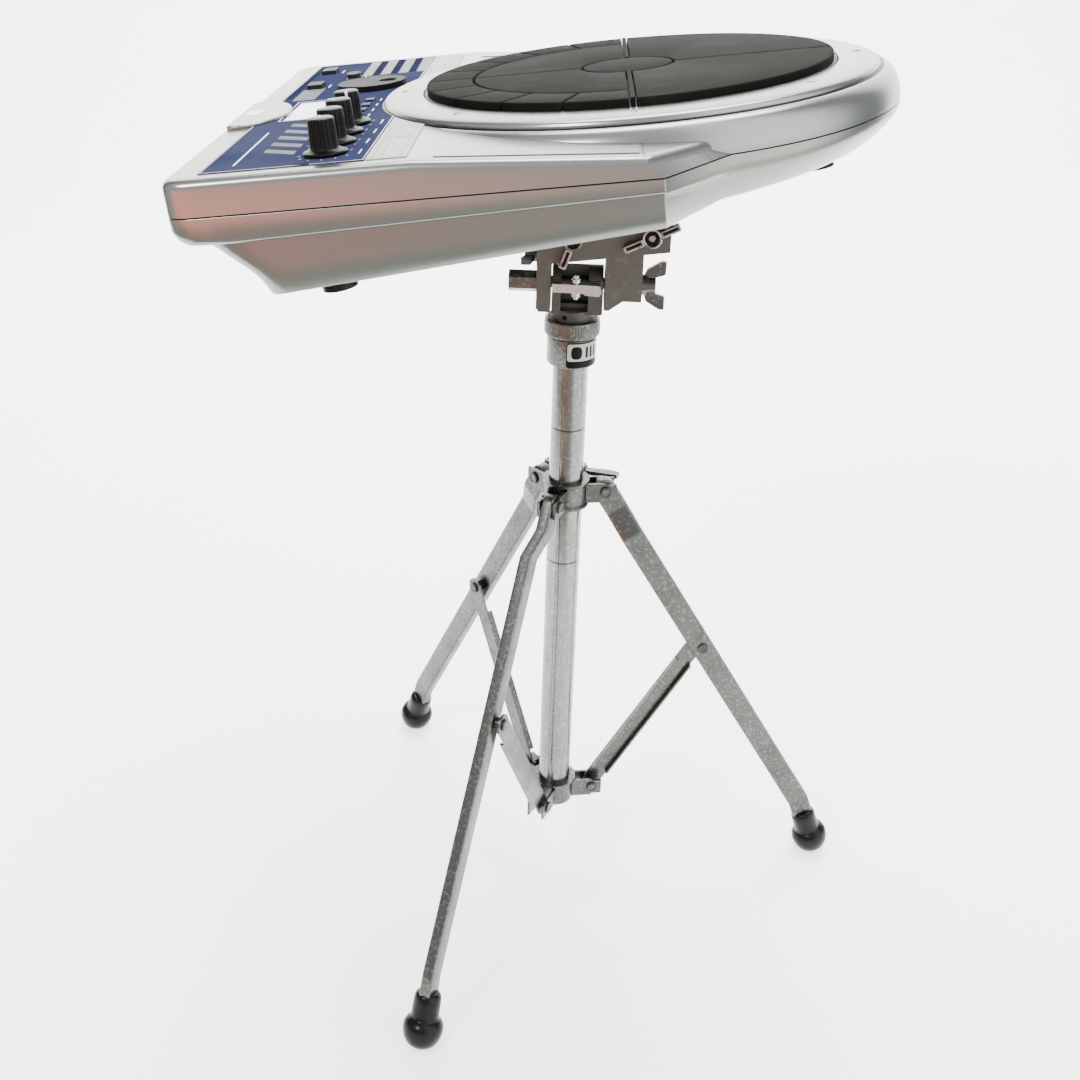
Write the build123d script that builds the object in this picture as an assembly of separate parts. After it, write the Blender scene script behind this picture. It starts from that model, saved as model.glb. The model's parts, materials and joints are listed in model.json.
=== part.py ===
"""Electronic hand-percussion practice pad on a folding tripod stand. Units mm, +Z up, origin on the floor under the tube."""
import os
from math import atan2, cos, degrees, hypot, radians, sin, sqrt

from build123d import *

# ---- stand ----
TUBE_R = 12.4            # main tube, outer radius
TUBE_WALL = 1.2
TUBE_BOTTOM = 66.0
TUBE_TOP = 470.0
ROD_R = 9.5              # height rod, outer radius
ROD_BOTTOM = 120.0
ROD_TOP = 484.0
RUN = 0.05               # radial clearance of a running fit
FREE = 0.3               # radial clearance of a loose fit
LEG_AZIMUTH = 8.8        # direction of the first leg, degrees from +X
LEG_TILT = 31.2          # leg angle from vertical
CLAMP_AZIMUTH = 68.8     # direction of the sliding collar's wing bolt
UPPER_PIVOT = (28.5, 346.5)   # radius and height of the leg hinges
LOWER_PIVOT = (30.0, 77.5)    # radius and height of the strut hinges
STRUT_AT = 159.0         # strut rivet, distance along the leg
LEG_WIDTH = 17.0
LEG_THICK = 8.5
LEG_SHIFT = 7.0          # how far the leg steps sideways below its hinge
BEND_AT = 344.0          # where the leg bends steeper, distance along the leg
FOOT_TILT = 20.0
FOOT_R = 14.6
FOOT_RADIUS = 221.0      # distance of a foot from the tube axis
FOOT_HEIGHT = 14.0       # height of the foot ball's centre, less than its radius: a flat spot stands on the floor
STRUT_WIDTH = 14.5
PIN_R = 2.4
STRUT_CLEAR = 0.9        # radial clearance of the strut rivet, where the folding loop is open
EAR_HALF = 5.0           # half the gap between two ears
EAR_THICK = 2.0
BAND_R = 15.2            # collar band, outer radius
BAND_H = 20.0

# ---- head ----
TILT_Z = 503.0           # height of the tilt axis
TILT_DEG = -2.17         # tilt at rest, about +X
BOLT_R = 4.0
SADDLE_HALF = 22.0       # half width of the saddle channel
SHOE_HALF = 16.5

# ---- pad unit: u towards the player, v across, w up, origin at the pad's top centre ----
UNIT_AT = (28.2, -5.4, 645.5)
UNIT_PITCH = -6.88
PAD_R = 126.5
DIVIDER = 2.0            # half width of the slot that parts the rear zones from the front ones
DRUM_R = 166.0           # round case wall at the seam
BEZEL_R = 154.0
HALF_V = 203.0           # half width of the case at the seam
REAR_U = -248.0
SEAM = -28.0
PANEL = -9.0             # height of the control panel below the pad's top
BREAK_U = -117.0         # where the shoulders start to slope
SHOULDER = 0.0677        # fall of the shoulders per mm
BASE_W = -59.7           # height of the base under the pad centre
BASE_DEG = -5.14         # slope of the base
WALL = 2.5
KNOB_U = -165.0
KNOB_V = (-166.0, -137.0, -108.0, -79.0)
DIAL_AT = (-172.0, 63.0)
DIAL_R = 23.0
BUTTONS = ((-215.0, 150.0), (-214.0, 84.0), (-193.0, 119.0))
BUTTON = (10.0, 16.0)
KEYS_V = (4.0, -14.5, -33.0, -51.5)
KEY = (5.5, 9.0)
DISPLAY = (-201.0, -12.0, 24.0, 66.0)
POD_AT = (-238.0, -17.0)
JACKS_V = (104.0, 78.0, 46.0, 14.0, -20.0)
JACK_W = -36.5
BORE_R = 3.2
POWER_V = 150.0
SCREWS = ((-180.0, 150.0, -11.0), (-180.0, -150.0, -11.0), (-40.0, 165.0, -15.6), (-40.0, -165.0, -15.6),
          (100.0, 60.0, -12.5), (100.0, -60.0, -12.5))   # u, v and the top of the boss
CASE_FEET = ((-168.0, 172.0), (-168.0, -172.0), (105.0, 85.0), (105.0, -85.0))

TILT = Pos(0, 0, TILT_Z) * Rot(TILT_DEG, 0, 0) * Pos(0, 0, -TILT_Z)
UNIT = TILT * Pos(*UNIT_AT) * Rot(0, UNIT_PITCH, 0)
BASE = Pos(0, 0, BASE_W) * Rot(0, BASE_DEG, 0)
SLOPE = Pos(BREAK_U, 0, PANEL) * Rot(0, degrees(atan2(SHOULDER, 1)), 0)
EARS = EAR_HALF + EAR_THICK


def disc(r, z0, z1, x=0.0, y=0.0):
    return Pos(x, y, (z0 + z1) / 2) * Cylinder(r, z1 - z0)


def ring(r, inner, z0, z1, x=0.0, y=0.0):
    return disc(r, z0, z1, x, y) - disc(inner, z0 - 1, z1 + 1, x, y)


def block(x0, x1, y0, y1, z0, z1):
    return Pos((x0 + x1) / 2, (y0 + y1) / 2, (z0 + z1) / 2) * Box(x1 - x0, y1 - y0, z1 - z0)


def along_y(r, y0, y1, x=0.0, z=0.0):
    return Pos(x, (y0 + y1) / 2, z) * Rot(90, 0, 0) * Cylinder(r, y1 - y0)


def along_x(r, x0, x1, y=0.0, z=0.0):
    return Pos((x0 + x1) / 2, y, z) * Rot(0, 90, 0) * Cylinder(r, x1 - x0)


def prism_xy(points, z0, z1):
    return Pos(0, 0, z0) * extrude(make_face(Polyline(*points, close=True)), z1 - z0)


def prism_xz(points, y0, y1):
    """A polygon in the XZ plane, carried from y0 to y1."""
    return Pos(0, y1, 0) * extrude(Plane.XZ * make_face(Polyline(*points, close=True)), y1 - y0)


def lathe(points):
    """A profile of (radius, height) points turned about +Z."""
    return revolve(Plane.XZ * make_face(Polyline(*points, close=True)), Axis.Z)


def turned(k):
    return Rot(0, 0, LEG_AZIMUTH + 120 * k)


# ---------------------------------------------------------------- stand
def main_tube():
    tube = ring(TUBE_R, TUBE_R - TUBE_WALL, TUBE_BOTTOM, TUBE_TOP)
    groove = block(TUBE_R - 0.5, TUBE_R + 1, -0.6, 0.6, TUBE_BOTTOM + 22, 444)
    return tube - turned(2) * groove


def tube_bush():
    return ring(TUBE_R - TUBE_WALL, ROD_R + RUN, 440, TUBE_TOP) + ring(TUBE_R, ROD_R + RUN, TUBE_TOP, TUBE_TOP + 3)


def sleeve():
    points = [(TUBE_R, 446), (15.5, 446), (17.0, 448), (17.0, 467), (14.1, 467), (14.1, 473.8), (TUBE_R, 473.8)]
    return lathe(points)


def clutch_ring():
    points = [(14.1 + FREE, 467.4), (18.3, 467.4), (19.3, 468.4), (19.3, 478.2), (18.2, 479.4), (16.5, 479.4),
              (16.5, 473.6), (14.1 + FREE, 473.6)]
    body = lathe(points)
    for i in range(36):
        body -= Rot(0, 0, i * 10) * block(18.9, 20, -0.55, 0.55, 469, 477.6)
    return body


def height_rod():
    return ring(ROD_R, ROD_R - 1.5, ROD_BOTTOM, ROD_TOP)


def rod_guide():
    return ring(TUBE_R - TUBE_WALL - RUN, ROD_R, ROD_BOTTOM, ROD_BOTTOM + 20)


def collar(pivot, bore, flared):
    """Band with lips and three pairs of ears; each pair carries a rivet."""
    r, z = pivot
    z0 = z - BAND_H / 2
    z1 = z + BAND_H / 2
    lip = BAND_R + 1.8
    points = [(bore, z0), (lip, z0), (lip, z0 + 1.4), (BAND_R, z0 + 3), (BAND_R, z1 - 3), (lip, z1 - 1.4), (lip, z1),
              (bore, z1)]
    if not flared:
        points = [(bore, z0), (BAND_R, z0)] + points[4:]
    body = lathe(points)
    for k in range(3):
        body += turned(k) * ears(r, z)
    for k in range(3):
        body += turned(k) * rivet(r, z, EARS)
    return body


def ears(r, z):
    plates = block(BAND_R - 1.2, r, -EARS, EARS, z - 8, z + 7) + block(r, r + 8, -EARS, EARS, z - 6.5, z + 6)
    return plates - block(BAND_R + 0.2, r + 20, -EAR_HALF, EAR_HALF, z - 20, z + 20)


def rivet(r, z, half):
    return along_y(PIN_R, -half, half, r, z) + along_y(4.4, -half - 1.3, -half, r, z) + along_y(
        4.4, half, half + 1.3, r, z)


def upper_collar():
    """Sliding collar with a boss for the wing bolt that clamps it."""
    z = UPPER_PIVOT[1] + 4
    body = collar(UPPER_PIVOT, TUBE_R + FREE, True)
    body += Rot(0, 0, CLAMP_AZIMUTH) * block(BAND_R - 1.2, 23.5, -6, 6, z - 6.5, z + 9)
    return body - Rot(0, 0, CLAMP_AZIMUTH) * along_x(3.0 + RUN, 5, 30, 0, z)


def lower_collar():
    return collar(LOWER_PIVOT, TUBE_R, False)


def wing_bolt(shank_r, shank, hub_r, hub, span, blade):
    """Axis along -Z into the work, head above z = 0, wings along X."""
    body = disc(shank_r, -shank, 0) + disc(hub_r, 0, hub)
    for s in (-1, 1):
        points = [(s * hub_r * 0.6, 0.8), (s * span * 0.75, hub * 0.35), (s * span, hub * 0.5), (s * span, hub * 1.25),
                  (s * span * 0.7, hub * 1.3), (s * hub_r * 0.6, hub * 0.8)]
        body += prism_xz(points, -blade / 2, blade / 2)
    return body


def collar_wing():
    bolt = wing_bolt(3.0, 11.0, 5.0, 8.0, 29.0, 3.4)
    return Rot(0, 0, CLAMP_AZIMUTH) * Pos(23.8, 0, UPPER_PIVOT[1] + 4) * Rot(0, 90, 0) * Rot(0, 0, 90) * bolt


def leg_frame():
    r, z = UPPER_PIVOT
    return Pos(r, 0, z) * Rot(0, -LEG_TILT, 0)


def leg_bar():
    """Stepped bar: runs down -Z from the hinge, steps sideways, and carries on."""
    path = [(0, 0), (0, -19), (-LEG_SHIFT, -40), (-LEG_SHIFT, -BEND_AT)]
    right = [(y + LEG_THICK / 2, z) for y, z in path]
    left = [(y - LEG_THICK / 2, z) for y, z in path]
    face = Plane.YZ * make_face(Polyline(*right, *left[::-1], close=True))
    return Pos(-LEG_WIDTH / 2, 0, 0) * extrude(face, LEG_WIDTH)


def leg():
    bar = leg_bar() + along_y(LEG_WIDTH / 2, -LEG_THICK / 2, LEG_THICK / 2)
    bar -= along_y(PIN_R + RUN, -20, 20)
    side = (-LEG_SHIFT - LEG_THICK / 2, -LEG_SHIFT + LEG_THICK / 2)
    toe = along_y(LEG_WIDTH / 2, *side) + block(-LEG_WIDTH / 2, LEG_WIDTH / 2, *side, -36, 0)
    bar += Pos(0, 0, -BEND_AT) * Rot(0, LEG_TILT - FOOT_TILT, 0) * toe
    bar -= block(-LEG_WIDTH / 2 + 1.5, LEG_WIDTH / 2 - 1.5, side[0] + 1.5, side[1] - 1.5, -BEND_AT + 12, -STRUT_AT - 14)
    bar -= block(-LEG_WIDTH / 2 + 1.5, LEG_WIDTH / 2 - 1.5, side[0] + 1.5, side[1] - 1.5, -STRUT_AT + 14, -52)
    pin = along_y(PIN_R, side[0] - 1, 4.8) + along_y(4.4, side[0] - 1.3, side[0]) + along_y(4.2, side[1], 1.2)
    pin += along_y(4.4, 3.4, 4.8)
    return leg_frame() * (bar + Pos(0, 0, -STRUT_AT) * pin)


def strut_points():
    """Lower and upper pivots of a strut as (radius, height)."""
    a = radians(LEG_TILT)
    upper = (UPPER_PIVOT[0] + STRUT_AT * sin(a), UPPER_PIVOT[1] - STRUT_AT * cos(a))
    return LOWER_PIVOT, upper


def strut():
    (r0, z0), (r1, z1) = strut_points()
    length = hypot(r1 - r0, z1 - z0)
    lean = degrees(atan2(r1 - r0, z1 - z0))
    half = STRUT_WIDTH / 2
    web = block(-half, half, 1.5, 3.1, 0, length) + along_y(half, 1.5, 3.1) + along_y(half + 0.6, 1.5, 3.1, 0, length)
    web -= along_y(PIN_R + RUN, 0, 6) + along_y(PIN_R + STRUT_CLEAR, 0, 6, 0, length)
    for s in (-1, 1):
        x = s * (half - 0.8)
        web += block(x - 0.8, x + 0.8, -2.2, 3.1, 14, length - 22)
    return Pos(r0, 0, z0) * Rot(0, lean, 0) * web


def foot():
    """Rubber ball with a slotted neck that the leg's toe stands in."""
    ball = Sphere(FOOT_R) + disc(10.2, 0, 29)
    neck = Pos(FOOT_RADIUS, -LEG_SHIFT, FOOT_HEIGHT) * Rot(0, -FOOT_TILT, 0) * ball
    neck -= block(-500, 500, -200, 200, -40, 0)
    return neck - toe_space()


def toe_space():
    side = (-LEG_SHIFT - LEG_THICK / 2, -LEG_SHIFT + LEG_THICK / 2)
    toe = block(-LEG_WIDTH / 2, LEG_WIDTH / 2, *side, -36, 0)
    upper = block(-LEG_WIDTH / 2, LEG_WIDTH / 2, *side, -BEND_AT, -BEND_AT + 60)
    return leg_frame() * (Pos(0, 0, -BEND_AT) * Rot(0, LEG_TILT - FOOT_TILT, 0) * (toe + along_y(
        LEG_WIDTH / 2, *side)) + upper)


# ---------------------------------------------------------------- head
def head_base():
    base = lathe([(ROD_R + RUN, 474.2), (15.9, 474.2), (15.9, 479.0), (14.8, 480.2), (14.2, 486), (0, 486), (0, 484.3),
                  (ROD_R + RUN, 484.3)])
    base += block(-14.5, 19.8, -12.5, 12.5, 484.6, 490)
    for x0, x1 in ((-14.5, -8.5), (10.0, 19.8)):
        base += block(x0, x1, -12.5, 12.5, 486, TILT_Z) + along_x(12.5, x0, x1, 0, TILT_Z)
        base += block(x0, x1, -12.5, 0, 486, TILT_Z + 5)
    base += block(-8.5, 10.0, 1.0, 12.5, 486, TILT_Z) + (along_x(12.5, -8.5, 10.0, 0, TILT_Z) & block(-9, 11, 1, 20, 490, 520))
    base -= along_x(BOLT_R + RUN, -30, 30, 0, TILT_Z)
    base -= block(-8.5, 10.0, -13, -6, 486.5, 491)
    return base - along_y(1.6, -20, -9, -5.5, 482.2)


def brake_bar():
    points = [(-14.4, 501.6), (6, 501.2), (8, 500), (17, 499.4), (18.6, 502), (17.6, 506.6), (13, 507), (-14.4, 507.2)]
    bar = prism_xz(points, -18.5, -12.5)
    return bar + disc(1.8, 496.5, 512, 1.5, -15.5) + disc(3.4, 498.4, 501.6, 1.5, -15.5) + disc(3.2, 508.5, 510.5, 1.5, -15.5)


def saddle_floor(x):
    return 523.0 + 0.1325 * x


def saddle_top(x):
    return 549.6 + 0.2125 * x


def saddle():
    outer = [(-25, saddle_floor(-25)), (62, saddle_floor(62)), (62, saddle_top(62)), (-25, saddle_top(-25))]
    inner = [(-90, saddle_floor(-90) + 7), (90, saddle_floor(90) + 7), (90, 600), (-90, 600)]
    body = prism_xz(outer, -SADDLE_HALF, SADDLE_HALF) - prism_xz(inner, -SHOE_HALF - 0.4, SHOE_HALF + 0.4)
    ear = [(-25, 488), (-23, 485.5), (-15.3, 485.5), (-15.3, 523), (-25, 523)]
    body += prism_xz(ear, -13.5, 13.5)
    lump = [(20.6, 488), (24, 488), (33, 494.6), (45.5, 494.6), (45.5, saddle_floor(45.5) + 3),
            (20.6, saddle_floor(20.6) + 3)]
    body += prism_xz(lump, -13.5, 13.5)
    body -= along_x(BOLT_R, -30, 60, 0, TILT_Z)
    for x, z in WING_AT:
        body -= along_y(3 + RUN, -SADDLE_HALF - 1, -SHOE_HALF, x, z)
    return TILT * (body - along_x(3 + RUN, -30, 0, *SIDE_WING))


WING_AT = ((-1.7, 538.0), (49.4, 541.5))
SIDE_WING = (-6.0, 522.6)


def front_wing(i):
    x, z = WING_AT[i]
    turn = (70.0, 25.0)[i]
    bolt = wing_bolt(3.0, 5.2, 6.6, 6.5, 19.5, 5.0)
    return TILT * Pos(x, -SADDLE_HALF - 0.3, z) * Rot(0, -turn, 0) * Rot(90, 0, 0) * bolt


def side_wing():
    y, z = SIDE_WING
    return TILT * Pos(-25.3, y, z) * Rot(0, -90, 0) * Rot(0, 0, 80) * wing_bolt(3.0, 7, 4.6, 8, 13, 3.4)


def tilt_bolt():
    hexagon = Rot(0, 90, 0) * extrude(RegularPolygon(7.4, 6), 19)
    bolt = along_x(BOLT_R, -26, 54.5, 0, TILT_Z) + Pos(-44, 0, TILT_Z) * hexagon
    return TILT * bolt


def tilt_nut():
    hub = along_x(7.0, 45.8, 49, 0, 0) + along_x(5.6, 49, 55, 0, 0)
    for s in (-1, 1):
        points = [(46.2, s * 4), (49, s * 11), (58, s * 16.5), (61.5, s * 16.5), (61.5, s * 8), (60, s * 7), (53, s * 5)]
        hub += prism_xz(points, -1.7, 1.7)
    return TILT * Pos(0, 0, TILT_Z) * (hub - along_x(BOLT_R + RUN, 40, 70))


def mount_plate():
    """Plate screwed under the case, with the shoe that the saddle clamps."""
    plate = UNIT * BASE * block(-88, 34, -52, 62, -3, 0)
    for u, v in PLATE_SCREWS:
        plate -= UNIT * BASE * disc(2.2, -9, 3, u, v)
    points = [(-24, saddle_floor(-24) + 7), (61, saddle_floor(61) + 7), (61, 576.8 + 0.2125 * 61),
              (-24, 576.8 - 0.2125 * 24)]
    shoe = TILT * prism_xz(points, -SHOE_HALF, SHOE_HALF)
    return plate + shoe


PLATE_SCREWS = ((-78, -42), (-78, 52), (24, -42), (24, 52))


def plate_screws():
    return [UNIT * BASE * (disc(4.2, -5.6, -3, u, v) + disc(2.1, -3, 5, u, v)) for u, v in PLATE_SCREWS]


# ---------------------------------------------------------------- case
def outline(inset):
    """Plan of the case: a rectangle towards the panel, a cut corner each side, and the round pad end."""
    r = DRUM_R - inset
    u2 = 50.0 - 0.8 * inset
    v2 = sqrt(r * r - u2 * u2)
    u0 = REAR_U + inset
    u1 = 12.5 - 0.4 * inset
    v = HALF_V - inset
    face = make_face(Polyline((u0, -v), (u1, -v), (u2, -v2), (u2, v2), (u1, v), (u0, v), close=True))
    corners = face.vertices().filter_by(lambda p: p.X < u0 + 1)
    return fillet(corners, 14.0 - inset * 0.5)


def shoulder_cut(drop):
    fall = SHOULDER * 200
    points = [(BREAK_U, PANEL - drop), (BREAK_U + 200, PANEL - drop - fall), (BREAK_U + 200, 30), (BREAK_U, 30)]
    return prism_xz(points, -300, 300)


def top_body(inset, low):
    slab = Pos(0, 0, low) * extrude(outline(inset), PANEL - inset - low) - shoulder_cut(inset)
    if inset == 0:
        edges = slab.edges().filter_by(lambda e: e.center().Z > PANEL - 14 and not is_crease(e))
        slab = fillet(edges, 4.5)
    r = DRUM_R - inset
    drum = lathe([(0, low), (r, low), (r, SEAM + 1), (r - 2.5, PANEL - inset - 4.5), (r - 6, PANEL - inset),
                  (0, PANEL - inset)])
    return slab + drum


def is_crease(edge):
    c = edge.center()
    upright = abs(edge.start_point().Z - edge.end_point().Z) > 5
    return upright or (abs(c.Y) < 1 and abs(c.X - BREAK_U) < 1)


def upper_case():
    body = top_body(0.0, SEAM) - top_body(WALL, SEAM - 5)
    body += ring(133.5, 131.0, PANEL - 4, PANEL - 1) + disc(133.5, PANEL - 4, PANEL - 1.5)
    for u, v, top in SCREWS:
        body += disc(4.5, SEAM + 0.3, top, u, v)
    body -= disc(131.0, PANEL - 1.5, PANEL + 5)
    for u, v, top in SCREWS:
        body -= disc(1.9, SEAM - 5, top - 2.5, u, v)
    body -= panel_holes(FREE)
    return UNIT * body


def panel_holes(extra):
    cut = disc(3.0 + extra, PANEL - 6, PANEL + 3, *DIAL_AT)
    for v in KNOB_V:
        cut += disc(3.0 + extra, PANEL - 6, PANEL + 3, KNOB_U, v)
    for u, v in BUTTONS:
        cut += button_box(u, v, extra, PANEL - 6, PANEL + 3)
    for v in KEYS_V:
        cut += block(KNOB_U - KEY[0] / 2 - extra, KNOB_U + KEY[0] / 2 + extra, v - KEY[1] / 2 - extra,
                     v + KEY[1] / 2 + extra, PANEL - 6, PANEL + 3)
    u, v, du, dv = DISPLAY
    return cut + block(u - du / 2, u + du / 2, v - dv / 2, v + dv / 2, PANEL - 6, PANEL + 3)


def button_box(u, v, extra, z0, z1):
    return block(u - BUTTON[0] / 2 - extra, u + BUTTON[0] / 2 + extra, v - BUTTON[1] / 2 - extra,
                 v + BUTTON[1] / 2 + extra, z0, z1)


def band_cut(drop):
    """Everything below the side band, which rises towards the player."""
    points = [(-300, -46.0 - drop), (90, -34.3 - drop), (90, -200), (-300, -200)]
    return prism_xz(points, -300, 300)


def base_cut(lift):
    """Everything below the base, with the rear end cut at a slant."""
    cut = BASE * block(-400, 400, -300, 300, -200, lift)
    rear = [(-260, -30), (-238 + lift, -44 + lift), (-204 + lift, -79 + lift), (-204 + lift, -120), (-260, -120)]
    return cut + prism_xz(rear, -300, 300)


def low_body(inset, high):
    rise = extrude(outline(inset), 60)
    band = Pos(0, 0, high - 60) * rise - band_cut(-inset)
    belly = Pos(0, 0, -90) * extrude(outline(inset + 14), 70) - base_cut(inset)
    belly -= block(-400, 400, -300, 300, high, 100)
    r = DRUM_R - inset
    drum = lathe([(0, high), (r, high), (r, -30), (r - 4, -40), (r - 12, -54), (r - 18, -75), (0, -75)]) - base_cut(inset)
    return band + belly + drum


def lower_case():
    top = SEAM - 0.6
    body = low_body(0.0, top) - low_body(WALL, top + 5)
    lip = Pos(0, 0, top) * extrude(outline(WALL + 0.3), 3) + Pos(0, 0, top - 4) * extrude(outline(WALL - 0.5), 4)
    lip -= Pos(0, 0, top - 5) * extrude(outline(WALL + 1.8), 10)
    body += lip - disc(DRUM_R - WALL - 1.9, -100, 0) - block(51, 300, -300, 300, -100, 0)
    for u, v, top in SCREWS:
        body += disc(5.0, base_height(u) + 0.5, SEAM, u, v)
    for u, v, top in SCREWS:
        body -= disc(2.1, -100, 0, u, v) + disc(4.0, -100, base_height(u) + 4.5, u, v)
    for u, v in PLATE_SCREWS:
        body -= BASE * disc(2.1, -9, 9, u, v)
    for v in JACKS_V:
        body -= along_x(5.1, -260, -236, v, JACK_W)
    body -= along_x(4.6 + FREE, -260, -236, POWER_V, JACK_W)
    for u, v in BOARD_POSTS:
        body += BASE * disc(3.5, 1, 8, u, v)
    return UNIT * body


BOARD_POSTS = ((-180, 100), (-180, -100), (-110, 100), (-110, -100))


def base_height(u):
    return BASE_W + 0.09 * u


def circuit_board():
    return UNIT * BASE * block(-190, -96, -125, 125, 8, 9.6)


def panel_board():
    """Board under the panel, with the bodies that the knobs turn."""
    board = block(-222, -154, -182, 172, -26, -24.4)
    for u, v in [(KNOB_U, v) for v in KNOB_V] + [DIAL_AT]:
        board += disc(7.5, -24.4, PANEL - 4.5, u, v) - disc(3.0 + FREE, -23, 0, u, v)
    for u, v, top in SCREWS:
        board -= disc(7.0, -40, 0, u, v)
    return UNIT * board


def case_feet():
    return [UNIT * BASE * disc(10.0, -4.5, 0, u, v) for u, v in CASE_FEET]


def case_screws():
    out = []
    for u, v, top in SCREWS:
        z = base_height(u) + 4.5
        out.append(UNIT * (disc(3.6, z - 2.4, z, u, v) + disc(1.8, z, top - 3.5, u, v)))
    return out


def film(points, z0, z1):
    return prism_xy(points, z0, z1) - disc(BEZEL_R + 1.5, z0 - 1, z1 + 1)


def panel_overlay():
    body = film([(-229, -190), (-141, -190), (-141, 190), (-229, 190)], PANEL, PANEL + 0.5)
    pod = Pos(*POD_AT, PANEL) * extrude(Ellipse(25.5, 43.5), 2)
    return UNIT * (body - panel_holes(FREE + 0.2) - pod)


def panel_band():
    return UNIT * film([(-140.6, -190), (-119, -190), (-119, 190), (-140.6, 190)], PANEL, PANEL + 0.5)


def display_window():
    u, v, du, dv = DISPLAY
    return UNIT * block(u - du / 2 + 0.2, u + du / 2 - 0.2, v - dv / 2 + 0.2, v + dv / 2 - 0.2, PANEL - 3, PANEL + 0.2)


def sensor_pod():
    pod = Pos(*POD_AT, PANEL) * extrude(Ellipse(25, 43), 2.4)
    pod = fillet(pod.edges().group_by(Axis.Z)[-1], 1.2)
    pod -= block(-400, REAR_U + 4, -100, 100, -50, 50)
    return UNIT * (pod - pod_space())


def pod_space():
    u, v = POD_AT
    return block(u - 3, u + 7, v - 9, v + 9, PANEL + 0.8, PANEL + 10)


def pod_window():
    u, v = POD_AT
    return UNIT * block(u - 3, u + 7, v - 9, v + 9, PANEL + 0.8, PANEL + 2.6)


def touch_strips():
    out = []
    for v0, v1 in ((-192, -172), (172, 192)):
        out.append(UNIT * SLOPE * block(12, 118, v0, v1, 0, 0.5))
    return out


def pad_bezel():
    points = [(129.0, PANEL), (BEZEL_R, PANEL), (BEZEL_R, PANEL + 3.6), (BEZEL_R - 1.4, PANEL + 5), (129.8, PANEL + 5.4),
              (129.0, PANEL + 4.8)]
    return UNIT * lathe(points)


def sensor_plate():
    return UNIT * disc(128.0, PANEL - 1.5, PANEL)


def pad_base():
    return UNIT * disc(128.4, PANEL, -5.0)


def pad_center():
    return UNIT * disc(27.8, -5.0, 0.0)


def zones(r0, r1, side, angles, gap):
    """Part of a ring on one side of the v line, cut by straight gaps at the given angles."""
    body = ring(r1, r0, -5.0, 0.0) & block(*sorted((DIVIDER * side, 200.0 * side)), -200, 200, -10, 10)
    for a in angles:
        body -= Rot(0, 0, a) * block(r0 - 5, r1 + 5, -gap / 2, gap / 2, -10, 10)
    return UNIT * body


def pad_inner():
    return zones(29.4, 96.2, -1, (180,), 1.6).solids()


def pad_ring():
    return zones(97.8, PAD_R, -1, [90 + 18 * i for i in range(1, 10)], 1.8).solids()


def pad_quarters():
    return zones(29.4, PAD_R, 1, (0,), 1.6).solids()


def divider_strips():
    half = DIVIDER - 0.7
    return [UNIT * block(-half, half, *sorted((30.0 * s, 125.5 * s)), -5.0, 0.3) for s in (-1, 1)]


def jog_dial():
    dial = disc(DIAL_R, PANEL + 0.9, PANEL + 4.2, *DIAL_AT) + disc(3.0, -22.5, PANEL + 1, *DIAL_AT)
    return UNIT * (dial - Pos(DIAL_AT[0] + 11, DIAL_AT[1], PANEL + 8.2) * Sphere(7.5))


def knob(v):
    body = lathe([(0, PANEL + 0.9), (12.0, PANEL + 0.9), (11.4, PANEL + 2.6), (8.0, PANEL + 3.6), (7.4, PANEL + 19),
                  (6.6, PANEL + 19.7), (0, PANEL + 19.7)])
    for i in range(12):
        body -= Rot(0, 0, i * 30) * block(7.2, 9, -0.7, 0.7, PANEL + 5.2, PANEL + 25)
    return UNIT * Pos(KNOB_U, v, 0) * (body + disc(3.0, -22.5, PANEL + 1))


def button(i):
    u, v = BUTTONS[i]
    body = button_box(u, v, 0.0, PANEL - 5, PANEL + 3.2) + button_box(u, v, 1.2, PANEL - 5, PANEL - 4)
    if i == 2:
        body = Pos(u, v, PANEL - 5) * extrude(Ellipse(BUTTON[0] / 2, BUTTON[1] / 2), 8.2)
        body += button_box(u, v, 1.2, PANEL - 5, PANEL - 4)
    return UNIT * body


def key_strip():
    body = block(KNOB_U - 5, KNOB_U + 5, KEYS_V[-1] - 8, KEYS_V[0] + 8, PANEL - 5, PANEL - 4)
    for v in KEYS_V:
        body += block(KNOB_U - KEY[0] / 2, KNOB_U + KEY[0] / 2, v - KEY[1] / 2, v + KEY[1] / 2, PANEL - 5, PANEL + 1.6)
    return UNIT * body


def power_button():
    cap = along_x(4.6, REAR_U - 3.5, REAR_U + 7, POWER_V, JACK_W)
    return UNIT * (cap + along_x(5.0, REAR_U + 5.4, REAR_U + 7, POWER_V, JACK_W))


def rear_jacks():
    out = []
    for v in JACKS_V:
        body = along_x(5.0, REAR_U - 1, REAR_U + 18, v, JACK_W) + along_x(6.4, REAR_U - 2, REAR_U, v, JACK_W)
        out.append(UNIT * (body - along_x(BORE_R, REAR_U - 5, REAR_U + 14, v, JACK_W)))
    return out


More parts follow.
